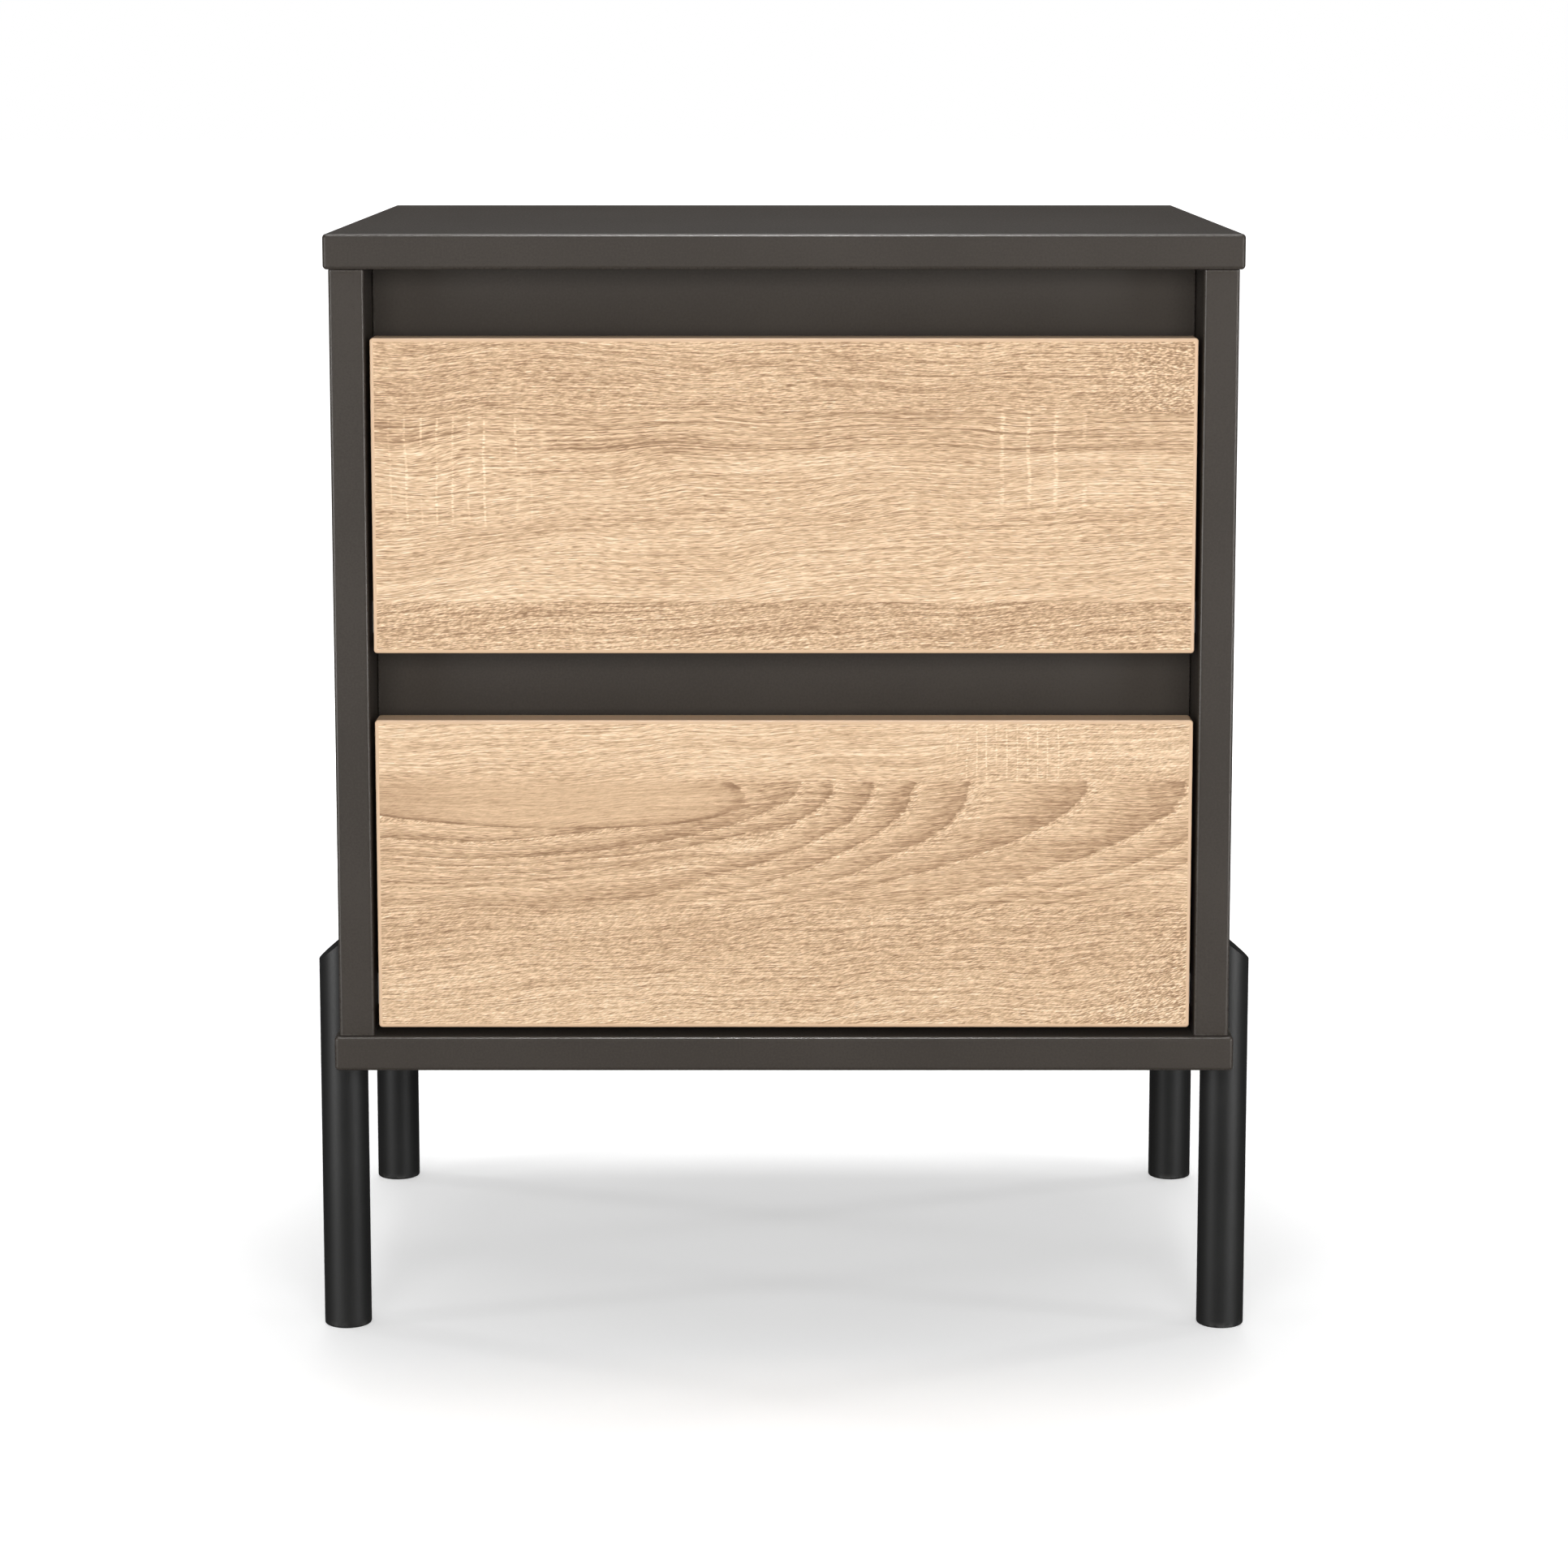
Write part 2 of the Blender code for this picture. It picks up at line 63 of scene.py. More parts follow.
# %% [markdown]
# ## The camera
# A furniture catalogue picture is taken from straight in front, a little above the top
# panel, with a long lens. A lens of about 95 mm, tipped down by eight degrees, shows a
# thin slice of the top and keeps the uprights almost parallel.

# %% Camera
CAMERA_PLACE = Vector((0.0, -2.3002, 0.6721))
CAMERA_TIP = 0.1446
CAMERA_LENS = 95.52
CAMERA_RISE = -0.08
camera_data = bpy.data.cameras.new("front_camera")
camera_data.lens = CAMERA_LENS
camera_data.sensor_width = 36.0
camera_data.shift_y = CAMERA_RISE
camera = bpy.data.objects.new("front_camera", camera_data)
camera.location = CAMERA_PLACE
camera.rotation_euler = (math.pi / 2 - CAMERA_TIP, 0, 0)
bpy.context.scene.collection.objects.link(camera)
bpy.context.scene.camera = camera
print("camera at", tuple(round(value, 3) for value in CAMERA_PLACE))

# %% [markdown]
# ## Small tools for shader nodes
# A finish is a sum of many small patterns. Writing each node by hand would be long, so
# these helpers add one node each and return its output, and the recipes below read like
# formulas.

# %% Node helpers: sums


def feed(tree, socket, value):
    """Link a socket to an output, or set it to a plain value."""
    if isinstance(value, bpy.types.NodeSocket):
        tree.links.new(value, socket)
    elif value is not None:
        socket.default_value = value


def calc(tree, operation, *values):
    """One Math node."""
    node = tree.nodes.new("ShaderNodeMath")
    node.operation = operation
    for socket, value in zip(node.inputs, values):
        feed(tree, socket, value)
    return node.outputs["Value"]


def total(tree, *values):
    """The sum of several values."""
    return functools.reduce(lambda first, second: calc(tree, "ADD", first, second), values)


def times(tree, *values):
    """The product of several values."""
    return functools.reduce(lambda first, second: calc(tree, "MULTIPLY", first, second), values)


def minus(tree, first, second):
    """The first value less the second."""
    return calc(tree, "SUBTRACT", first, second)


def ratio(tree, first, second):
    """The first value over the second."""
    return calc(tree, "DIVIDE", first, second)


print("sums and products:", [tool.__name__ for tool in (total, times, minus, ratio)])

# %% Node helpers: places, noise and colour


def vector_calc(tree, operation, first, second=None):
    """One Vector Math node."""
    node = tree.nodes.new("ShaderNodeVectorMath")
    node.operation = operation
    feed(tree, node.inputs[0], first)
    feed(tree, node.inputs[1], second)
    return node.outputs["Vector"]


def noise(tree, vector, scale, detail=3.0, roughness=0.5, distortion=0.0):
    """One Noise Texture node; its value lies around 0.5."""
    node = tree.nodes.new("ShaderNodeTexNoise")
    for name, value in (("Vector", vector), ("Scale", scale), ("Detail", detail),
                        ("Roughness", roughness), ("Distortion", distortion)):
        feed(tree, node.inputs[name], value)
    return node.outputs["Fac"]


def span(tree, value, low, high, to_low=0.0, to_high=1.0, smooth=True):
    """Map low..high to to_low..to_high, clamped."""
    node = tree.nodes.new("ShaderNodeMapRange")
    node.interpolation_type = "SMOOTHSTEP" if smooth else "LINEAR"
    for name, given in (("Value", value), ("From Min", low), ("From Max", high),
                        ("To Min", to_low), ("To Max", to_high)):
        feed(tree, node.inputs[name], given)
    return node.outputs["Result"]


def blend_colour(tree, factor, first, second):
    """One Mix Color node."""
    node = tree.nodes.new("ShaderNodeMix")
    node.data_type = "RGBA"
    feed(tree, node.inputs["Factor"], factor)
    for socket, value in ((node.inputs[6], first), (node.inputs[7], second)):
        if isinstance(value, tuple):
            value = (*value, 1.0)
        feed(tree, socket, value)
    return node.outputs[2]


def split(tree, vector):
    """The three parts of a vector."""
    node = tree.nodes.new("ShaderNodeSeparateXYZ")
    feed(tree, node.inputs[0], vector)
    return node.outputs["X"], node.outputs["Y"], node.outputs["Z"]


def join(tree, x, y, z):
    """A vector from three parts."""
    node = tree.nodes.new("ShaderNodeCombineXYZ")
    for socket, value in zip(node.inputs, (x, y, z)):
        feed(tree, socket, value)
    return node.outputs["Vector"]


def own_place(tree):
    """Where a point lies on its own piece, in metres from the piece's middle."""
    return tree.nodes.new("ShaderNodeTexCoord").outputs["Object"]


def stretched(tree, vector, x, y, z):
    """The vector with each part scaled."""
    return vector_calc(tree, "MULTIPLY", vector, (x, y, z))


print("places on a piece:", [tool.__name__ for tool in (own_place, stretched, split, join)])

# %% [markdown]
# ### Groups and finishes
# An effect that several finishes share is a group with named sockets. A finish itself is
# one Principled shader. Its fixed values are set on its own sockets, and its colour, gloss
# and fine relief are fed in from patterns.

# %% Groups and finishes
FLOAT, VECTOR = "NodeSocketFloat", "NodeSocketVector"


def new_group(name, takes, gives):
    """A shader node group with named inputs and outputs."""
    tree = bpy.data.node_groups.new(name, "ShaderNodeTree")
    for label, kind, default in takes:
        socket = tree.interface.new_socket(label, in_out="INPUT", socket_type=kind)
        if default is not None:
            socket.default_value = default
    for label, kind in gives:
        tree.interface.new_socket(label, in_out="OUTPUT", socket_type=kind)
    entry = tree.nodes.new("NodeGroupInput")
    leave = tree.nodes.new("NodeGroupOutput")
    return tree, entry.outputs, leave.inputs


def place_group(tree, group, **values):
    """Put a group into a tree with its own values; returns its outputs."""
    node = tree.nodes.new("ShaderNodeGroup")
    node.node_tree = group
    for name, value in values.items():
        feed(tree, node.inputs[name.replace("_", " ")], value)
    return node.outputs


def new_finish(name, **fixed):
    """A material with one Principled shader; returns it, its tree and the shader."""
    material = bpy.data.materials.new(name)
    material.use_nodes = True
    tree = material.node_tree
    shader = tree.nodes["Principled BSDF"]
    for label, value in fixed.items():
        shader.inputs[label.replace("_", " ")].default_value = value
    return material, tree, shader


def coat(tree, shader, colour, roughness, height, distance, strength):
    """Feed colour, roughness and a bump of a height in metres to the shader of a finish."""
    tree.links.new(colour, shader.inputs["Base Color"])
    tree.links.new(roughness, shader.inputs["Roughness"])
    node = tree.nodes.new("ShaderNodeBump")
    node.inputs["Strength"].default_value = strength
    node.inputs["Distance"].default_value = distance
    feed(tree, node.inputs["Height"], height)
    tree.links.new(node.outputs["Normal"], shader.inputs["Normal"])


print("sockets of a group:", FLOAT, VECTOR)

# %% [markdown]
# ## The floor
# The floor is a plain pale sheet, lit a little from below as on a light table, so that
# shadows stay soft. The glow from below grows with the distance from the nightstand, so
# the sheet runs into the white of the studio. Rays that bounce off it or mirror it meet
# a darker grey, which keeps the black legs black.

# %% Floor
FLOOR_REACH = 30.0
SEEN_GREY, BOUNCE_GREY, MIRRORED_GLOW = 0.79, 0.38, 0.10
GLOW_NEAR, GLOW_FAR = 0.345, 1.10
GLOW_STARTS, GLOW_ENDS = 0.15, 1.70


def plain_shader(tree, kind, grey, strength=None):
    """A shader node of one grey and, if it gives light, of one strength."""
    node = tree.nodes.new(kind)
    node.inputs["Color"].default_value = (grey, grey, grey, 1.0)
    if strength is not None:
        feed(tree, node.inputs["Strength"], strength)
    return node.outputs[0]


def by_ray(tree, kind, others, chosen):
    """One shader for a kind of ray and another for all other rays."""
    node = tree.nodes.new("ShaderNodeMixShader")
    ray = tree.nodes.new("ShaderNodeLightPath").outputs[kind]
    for socket, value in zip(node.inputs, (ray, others, chosen)):
        tree.links.new(value, socket)
    return node.outputs["Shader"]


bpy.context.scene.view_settings.view_transform = "Standard"
floor_shape = bmesh.new()
bmesh.ops.create_grid(floor_shape, x_segments=2, y_segments=2, size=FLOOR_REACH)
floor_mesh = bpy.data.meshes.new("studio_floor")
floor_shape.to_mesh(floor_mesh)
floor_shape.free()
floor = bpy.data.objects.new("studio_floor", floor_mesh)
bpy.context.scene.collection.objects.link(floor)
floor_paint = bpy.data.materials.new("pale_floor")
floor_paint.use_nodes = True
tree = floor_paint.node_tree
tree.nodes.clear()
distance = tree.nodes.new("ShaderNodeVectorMath")
distance.operation = "LENGTH"
tree.links.new(own_place(tree), distance.inputs[0])
glow = span(tree, distance.outputs["Value"], GLOW_STARTS, GLOW_ENDS, GLOW_NEAR, GLOW_FAR, False)
seen = tree.nodes.new("ShaderNodeAddShader")
tree.links.new(plain_shader(tree, "ShaderNodeBsdfDiffuse", SEEN_GREY), seen.inputs[0])
tree.links.new(plain_shader(tree, "ShaderNodeEmission", 1.0, glow), seen.inputs[1])
unseen = by_ray(tree, "Is Glossy Ray", plain_shader(tree, "ShaderNodeBsdfDiffuse", BOUNCE_GREY),
                plain_shader(tree, "ShaderNodeEmission", 1.0, MIRRORED_GLOW))
floor_out = tree.nodes.new("ShaderNodeOutputMaterial")
tree.links.new(by_ray(tree, "Is Camera Ray", unseen, seen.outputs["Shader"]),
               floor_out.inputs["Surface"])
floor_mesh.materials.append(floor_paint)
print("floor nodes:", len(tree.nodes))

# %% [markdown]
# ## The light
# The light is that of a white studio. A weak glow comes from all round. A wide lamp and a
# broad sun overhead put the shadow under the nightstand, and a wide soft box above the
# camera lights the fronts. Smaller fills stand behind it and at its sides. A small box
# above the front draws a pale line along the edges, and a strip on each side draws one
# down each leg. These last three only mirror, so they leave the flat faces alone.

# %% World glow
SKY_GLOW, SKY_MIRRORED = 0.16, 0.035
world = bpy.data.worlds.new("white_studio")
bpy.context.scene.world = world
world.use_nodes = True
tree = world.node_tree
tree.nodes.clear()
white, weak, mirrored = (plain_shader(tree, "ShaderNodeBackground", 1.0, strength)
                         for strength in (1.0, SKY_GLOW, SKY_MIRRORED))
sky_out = tree.nodes.new("ShaderNodeOutputWorld")
unseen = by_ray(tree, "Is Glossy Ray", weak, mirrored)
tree.links.new(by_ray(tree, "Is Camera Ray", unseen, white), sky_out.inputs["Surface"])
print("world nodes:", len(tree.nodes))

# %% Lamps
BODY_MIDDLE = (0.0, 0.0, 0.3)


def add_lamp(name, kind, place, aim, energy, **settings):
    """A lamp at a place, pointing at another."""
    data = bpy.data.lights.new(name, kind)
    data.energy = energy
    for key, value in settings.items():
        setattr(data, key, value)
    lamp = bpy.data.objects.new(name, data)
    lamp.location = place
    lamp.rotation_euler = (Vector(aim) - Vector(place)).to_track_quat("-Z", "Y").to_euler()
    bpy.context.scene.collection.objects.link(lamp)
    return lamp


def soft_box(name, place, aim, watts, width, height, without=None):
    """A rectangular lamp; without names the one kind of light that it doesn't give."""
    lamp = add_lamp(name, "AREA", place, aim, watts, shape="RECTANGLE", size=width,
                    size_y=height)
    if without:
        setattr(lamp, f"visible_{without}", False)


add_lamp("overhead_sky", "SUN", (0.0, 0.8, 3.0), (0, 0, 0), 0.5, angle=math.radians(40))
soft_box("overhead_box", (0.0, 0.50, 2.3), BODY_MIDDLE, 22.0, 0.9, 1.1)
soft_box("front_box", (0.0, -2.5, 0.78), (0, 0, 0.42), 51.0, 2.2, 0.9, "glossy")
soft_box("rear_fill", (0.0, 2.6, 0.8), BODY_MIDDLE, 9.0, 1.2, 0.8, "glossy")
for side, sign in SIDES:
    for end, distance, watts in (("rear", 0.9, 7.0), ("front", -0.75, 6.0)):
        soft_box(f"{side}_{end}_fill", (sign * 2.2, distance, 0.75), BODY_MIDDLE, watts,
                 0.22, 0.22, "glossy")
soft_box("edge_box", (0.0, -0.9, 2.2), (0, -0.2, 0.4), 58.0, 0.35, 0.35, "diffuse")
for side, sign in SIDES:
    soft_box(f"{side}_strip", (sign * 1.05, -1.0, 0.27), (0, -0.15, 0.27), 15.0, 0.40, 0.5,
             "diffuse")

# %% [markdown]
# ## Effects that several finishes share
# **Edge distance.** Boards are boxes, so a point's distance from the nearest edge comes
# from its place alone: of its three distances to the faces, the smallest is the face that
# it lies on, and the middle one is the way to the nearest edge.
#
# **Speckle.** Every pressed or sprayed surface has a very fine uneven skin.

# %% Edge distance group
edge_group, taken, given = new_group(
    "edge_distance", [("Place", VECTOR, None), ("Half Size", VECTOR, None)],
    [("Distance", FLOAT)])
inward = vector_calc(edge_group, "SUBTRACT", taken["Half Size"],
                     vector_calc(edge_group, "ABSOLUTE", taken["Place"]))
to_x, to_y, to_z = split(edge_group, inward)
smaller = calc(edge_group, "MINIMUM", to_x, to_y)
larger = calc(edge_group, "MAXIMUM", to_x, to_y)
middle_one = calc(edge_group, "MAXIMUM", smaller, calc(edge_group, "MINIMUM", larger, to_z))
feed(edge_group, given["Distance"], middle_one)

# %% Speckle group
speckle_group, taken, given = new_group(
    "speckle", [("Place", VECTOR, None), ("Size", FLOAT, 400.0)],
    [("Fine", FLOAT), ("Broad", FLOAT)])
feed(speckle_group, given["Fine"], noise(speckle_group, taken["Place"], taken["Size"], 2.0))
feed(speckle_group, given["Broad"], noise(speckle_group, taken["Place"], 9.0, 3.0, 0.55))

print("shared effects:", [group.name for group in bpy.data.node_groups])

# %% [markdown]
# ## Tools for shapes
# Boards are boxes with eased edges. A rounded edge only looks right when its shading runs
# smoothly into the flat faces, so each board gets several bevel steps and normals that are
# weighted by face area. Grooves and screw holes are cut with exact booleans, as a router
# and a drill would.

# %% Shape helpers: raw solids
GAP = 0.0003
EDGE_STEPS = 6
SMOOTH_ANGLE = math.radians(38)


def new_piece(name, work, finish):
    """Turn a bmesh in world coordinates into an object at the origin."""
    bmesh.ops.recalc_face_normals(work, faces=work.faces)
    mesh = bpy.data.meshes.new(name)
    work.to_mesh(mesh)
    work.free()
    piece = bpy.data.objects.new(name, mesh)
    bpy.context.scene.collection.objects.link(piece)
    if finish is not None:
        mesh.materials.append(finish)
    return piece


def box_work(low, high):
    """A bmesh box between two corners."""
    low, high = Vector(low), Vector(high)
    work = bmesh.new()
    bmesh.ops.create_cube(work, size=1.0)
    bmesh.ops.scale(work, vec=high - low, verts=work.verts)
    bmesh.ops.translate(work, vec=(low + high) / 2, verts=work.verts)
    return work


def ease(work, radius, chosen=None):
    """Round the edges that chosen(edge) picks, or all of them."""
    edges = [edge for edge in work.edges if chosen is None or chosen(edge)]
    bmesh.ops.bevel(work, geom=edges, offset=radius, segments=EDGE_STEPS, profile=0.5,
                    affect="EDGES", clamp_overlap=True)


def turned_work(profile, place, axis, segments, closed=False):
    """Turn (radius, distance along) points about an axis, as on a lathe."""
    work = bmesh.new()
    turn = Vector((0, 0, 1)).rotation_difference(Vector(axis)).to_matrix()
    rings = []
    for radius, along in profile:
        count = segments if radius else 1
        ring = []
        for step in range(count):
            angle = 2 * math.pi * (step + 0.5) / segments
            point = Vector((radius * math.cos(angle), radius * math.sin(angle), along))
            ring.append(work.verts.new(Vector(place) + turn @ point))
        rings.append(ring)
    pairs = list(zip(rings, rings[1:]))
    if closed:
        pairs.append((rings[-1], rings[0]))
    for first, second in pairs:
        for step in range(segments):
            corners = [first[step % len(first)], first[(step + 1) % len(first)],
                       second[(step + 1) % len(second)], second[step % len(second)]]
            work.faces.new(list(dict.fromkeys(corners)))
    return work


print("gap round a fitted piece:", GAP, "m")

# %% Shape helpers: cutting, shading and placing


def finish_shape(piece, cuts=(), joins=(), edge_radius=0.0):
    """Cut, join, ease and shade a piece, and keep the result as its own mesh."""
    tools = []
    for operation, works in (("UNION", joins), ("DIFFERENCE", cuts)):
        for work in works:
            tool = new_piece(f"{piece.name}_{operation.lower()}", work, None)
            modifier = piece.modifiers.new(operation.lower(), "BOOLEAN")
            modifier.operation = operation
            modifier.solver = "EXACT"
            modifier.object = tool
            tools.append(tool)
    if edge_radius:
        modifier = piece.modifiers.new("eased", "BEVEL")
        modifier.width = edge_radius
        modifier.segments = 2
        modifier.limit_method = "ANGLE"
        modifier.angle_limit = SMOOTH_ANGLE
    bpy.context.view_layer.update()
    graph = bpy.context.evaluated_depsgraph_get()
    mesh = bpy.data.meshes.new_from_object(piece.evaluated_get(graph))
    piece.modifiers.clear()
    piece.data = mesh
    for tool in tools:
        bpy.data.objects.remove(tool, do_unlink=True)
    mesh.shade_smooth()
    mesh.set_sharp_from_angle(angle=SMOOTH_ANGLE)
    weighted = piece.modifiers.new("weighted", "WEIGHTED_NORMAL")
    weighted.keep_sharp = True
    return piece


def stand_in(piece, node):
    """The piece takes a CAD node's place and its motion."""
    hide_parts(node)
    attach(piece, NODE_BODY[node])


def middle_and_half(node):
    """A node's middle and half size."""
    low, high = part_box(node)
    return (low + high) / 2, (high - low) / 2


print("top panel is", [round(2 * half, 3) for half in middle_and_half("top_panel")[1]], "m")


# %% [markdown]
# ## Graphite board
# The carcass is chipboard faced with a matt graphite foil, edged with a band of the same
# colour. The foil has a very fine speckle that breaks up reflections. A paler colour within
# a millimetre of every edge, broken up by noise, is a painted highlight; the edges are also
# glossier.

# %% Graphite finish
GRAPHITE_DARK = (0.044, 0.0365, 0.0302)
GRAPHITE_LIGHT = (0.053, 0.0445, 0.0372)
# The paler colour of the painted highlight along the edges, and how far in it reaches.
GRAPHITE_PAINTED_HIGHLIGHT = (0.095, 0.085, 0.076)
HIGHLIGHT_WIDTH, HIGHLIGHT_FULL = 0.0012, 0.0003
POLISH_WIDTH, POLISH_FULL = 0.0022, 0.0006


def make_graphite(node):
    """The graphite finish, with its painted edge highlight placed for one board."""
    middle, half = middle_and_half(node)
    material, tree, shader = new_finish(f"graphite_{node}", Specular_IOR_Level=0.20)
    place = vector_calc(tree, "SUBTRACT", own_place(tree), tuple(middle))
    speckle = place_group(tree, speckle_group, Place=place, Size=900.0)
    edge = place_group(tree, edge_group, Place=place, Half_Size=tuple(half))["Distance"]
    shade = total(tree, times(tree, speckle["Fine"], 0.55),
                 times(tree, speckle["Broad"], 0.45))
    foil = blend_colour(tree, span(tree, shade, 0.36, 0.64), GRAPHITE_DARK, GRAPHITE_LIGHT)
    # Painted highlight: a paler colour within about a millimetre of each edge, broken up by noise.
    edge_highlight = times(tree, span(tree, edge, HIGHLIGHT_WIDTH, HIGHLIGHT_FULL),
               span(tree, noise(tree, place, 70.0, 4.0), 0.40, 0.70, 0.25, 0.80))
    colour = blend_colour(tree, edge_highlight, foil, GRAPHITE_PAINTED_HIGHLIGHT)
    matt = span(tree, speckle["Fine"], 0.3, 0.7, 0.46, 0.58)
    polish = span(tree, edge, POLISH_WIDTH, POLISH_FULL, 0.0, 0.22)
    coat(tree, shader, colour, minus(tree, matt, polish), speckle["Fine"], 0.00002, 0.5)
    return material


# %% [markdown]
# ## The carcass boards
# Top and bottom panels are rounded on every edge. The side panels are rounded only on the
# two uprights that face the front. The thin back panel slides in a groove in all four,
# and screws come up through the bottom panel, so the groove and holes are cut as well.

# %% Holes and grooves
BACK_LOW, BACK_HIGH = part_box("back_panel")
# Each screw: head radius, head depth, shank radius, length.
JOINT_SCREW = (0.0048, 0.0030, 0.0032, 0.0500)
LEG_SCREW = (0.0040, 0.0024, 0.0020, 0.0265)
FRONT_SCREW = (0.0038, 0.0024, 0.0019, 0.0245)
HOLE_SEGMENTS = 32
CLEARANCE = Vector((GAP, GAP, GAP))


def screw_hole(kind, node, axis):
    """The countersunk hole that one screw needs."""
    head_radius, head_depth, shank_radius, length = kind
    middle, half = middle_and_half(node)
    axis = Vector(axis)
    start = middle - axis * abs(half.dot(axis)) - axis * GAP
    profile = [(0, -0.001), (head_radius + GAP, -0.001), (head_radius + GAP, 0.0007),
               (shank_radius + GAP, head_depth + GAP), (shank_radius + GAP, length),
               (0, length + 2 * GAP)]
    return turned_work(profile, start, axis, HOLE_SEGMENTS)


def dowel_hole(node):
    """The round hole that one dowel needs."""
    middle, half = middle_and_half(node)
    radius, reach = half.x + GAP, half.z + GAP
    return turned_work([(0, -reach), (radius, -reach), (radius, reach), (0, reach)],
                       middle, (0, 0, 1), HOLE_SEGMENTS)


def back_groove():
    """The groove that holds the back panel."""
    return box_work(BACK_LOW - CLEARANCE, BACK_HIGH + CLEARANCE)


print("dowel hole radius:", round(middle_and_half("front_left_top_dowel")[1].x + GAP, 4), "m")

# %% Carcass boards
TOP_EDGE, BOTTOM_EDGE, SIDE_EDGE, RAIL_EDGE = 0.0021, 0.0020, 0.0018, 0.0009


def is_front_upright(edge):
    """True for a long upright edge on the front face."""
    first, second = (vert.co for vert in edge.verts)
    return abs(first.z - second.z) > 0.1 and max(first.y, second.y) < 0


def make_board(node, radius, chosen=None, cuts=(), finish=None):
    """A board from a node's box, with eased edges and cuts, in that node's place."""
    work = box_work(*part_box(node))
    if radius:
        ease(work, radius, chosen)
    piece = new_piece(f"{node}_board", work, finish or make_graphite(node))
    finish_shape(piece, cuts)
    stand_in(piece, node)


for end_panel, radius in (("top_panel", TOP_EDGE), ("bottom_panel", BOTTOM_EDGE)):
    holes = []
    for end in ENDS:
        for side, _ in SIDES:
            if end_panel == "top_panel":
                holes.append(dowel_hole(f"{end}_{side}_top_dowel"))
            else:
                holes.append(screw_hole(JOINT_SCREW, f"{end}_{side}_joint_screw", (0, 0, 1)))
    make_board(end_panel, radius, cuts=[back_groove(), *holes])
for side, sign in SIDES:
    holes = [back_groove()]
    for end in ENDS:
        holes.append(dowel_hole(f"{end}_{side}_top_dowel"))
        holes.append(screw_hole(JOINT_SCREW, f"{end}_{side}_joint_screw", (0, 0, 1)))
        for number in (1, 2):
            screw = f"{end}_{side}_leg_screw_{number}"
            holes.append(screw_hole(LEG_SCREW, screw, (sign, 0, 0)))
    make_board(f"{side}_side_panel", SIDE_EDGE, is_front_upright, holes)
for rail in ("top_finger_rail", "middle_finger_rail"):
    make_board(rail, RAIL_EDGE)

# %% [markdown]
# ## Black legs
# Each leg is a round bar, notched to carry the bottom panel and cut off at a slope where
# it runs out on the side panel. It is sprayed satin black. Paint fills the corners a
# little, so every cut edge is eased by a fraction of a millimetre.

# %% Leg finish
black_leg, tree, shader = new_finish("black_leg_paint", Specular_IOR_Level=0.35)
place = own_place(tree)
speckle = place_group(tree, speckle_group, Place=place, Size=1100.0)
paint = blend_colour(tree, span(tree, speckle["Broad"], 0.35, 0.65), (0.0085, 0.0085, 0.0082),
                     (0.0125, 0.0125, 0.0120))
foot_rub = times(tree, span(tree, split(tree, place)[2], 0.004, 0.0005),
                span(tree, noise(tree, place, 160.0, 4.0), 0.45, 0.60))
coat(tree, shader, blend_colour(tree, foot_rub, paint, (0.045, 0.044, 0.042)),
     span(tree, speckle["Fine"], 0.3, 0.7, 0.46, 0.54), speckle["Fine"], 0.00003, 0.5)
print("leg paint nodes:", len(tree.nodes))

# %% Legs
BOTTOM_LOW, BOTTOM_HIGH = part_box("bottom_panel")
LEG_SEGMENTS = 96
LEG_SLOPE = math.radians(38.9)
LEG_TOP = 0.2116
FOOT_RADIUS = 0.0012
FOOT_STEPS = 5
PAINTED_EDGE = 0.00025


def make_leg(node, side, sign):
    """A turned bar with two notches and a sloping cut, on one corner."""
    low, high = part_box(node)
    side_low, side_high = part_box(f"{side}_side_panel")
    radius = (high.y - low.y) / 2
    outer = high.x if sign > 0 else low.x
    centre = Vector((outer - sign * radius, (low.y + high.y) / 2, 0))
    blank = LEG_TOP + 2 * radius
    profile = [(0, low.z)]
    for step in range(FOOT_STEPS + 1):
        angle = math.pi / 2 * step / FOOT_STEPS
        profile.append((radius - FOOT_RADIUS * (1 - math.sin(angle)),
                        low.z + FOOT_RADIUS * (1 - math.cos(angle))))
    profile += [(radius, blank), (0, blank)]
    leg = new_piece(f"{node}_bar", turned_work(profile, centre, (0, 0, 1), LEG_SEGMENTS),
                    black_leg)
    shoulder = BOTTOM_LOW.z - GAP
    panel_face = sign * BOTTOM_HIGH.x + sign * GAP
    side_face = (side_high.x if sign > 0 else side_low.x) + sign * GAP
    cuts = []
    for face, top in ((panel_face, BOTTOM_HIGH.z + GAP), (side_face, blank + radius)):
        ends = sorted((face, face - sign * 4 * radius))
        cuts.append(box_work((ends[0], low.y - radius, shoulder),
                             (ends[1], high.y + radius, top)))
    reach = 4 * radius
    slope = box_work((-reach, -reach, 0), (reach, reach, 2 * reach))
    tilt = Matrix.Rotation(sign * LEG_SLOPE, 4, "Y")
    start = Vector((side_face - sign * GAP, centre.y, LEG_TOP))
    bmesh.ops.transform(slope, matrix=Matrix.Translation(start) @ tilt, verts=slope.verts)
    cuts.append(slope)
    for number in (1, 2):
        cuts.append(screw_hole(LEG_SCREW, f"{node}_screw_{number}", (sign, 0, 0)))
    finish_shape(leg, cuts, edge_radius=PAINTED_EDGE)
    stand_in(leg, node)
    return leg


for side, sign in SIDES:
    for end in ENDS:
        leg = make_leg(f"{end}_{side}_leg", side, sign)
print("one leg has", len(leg.data.polygons), "faces")

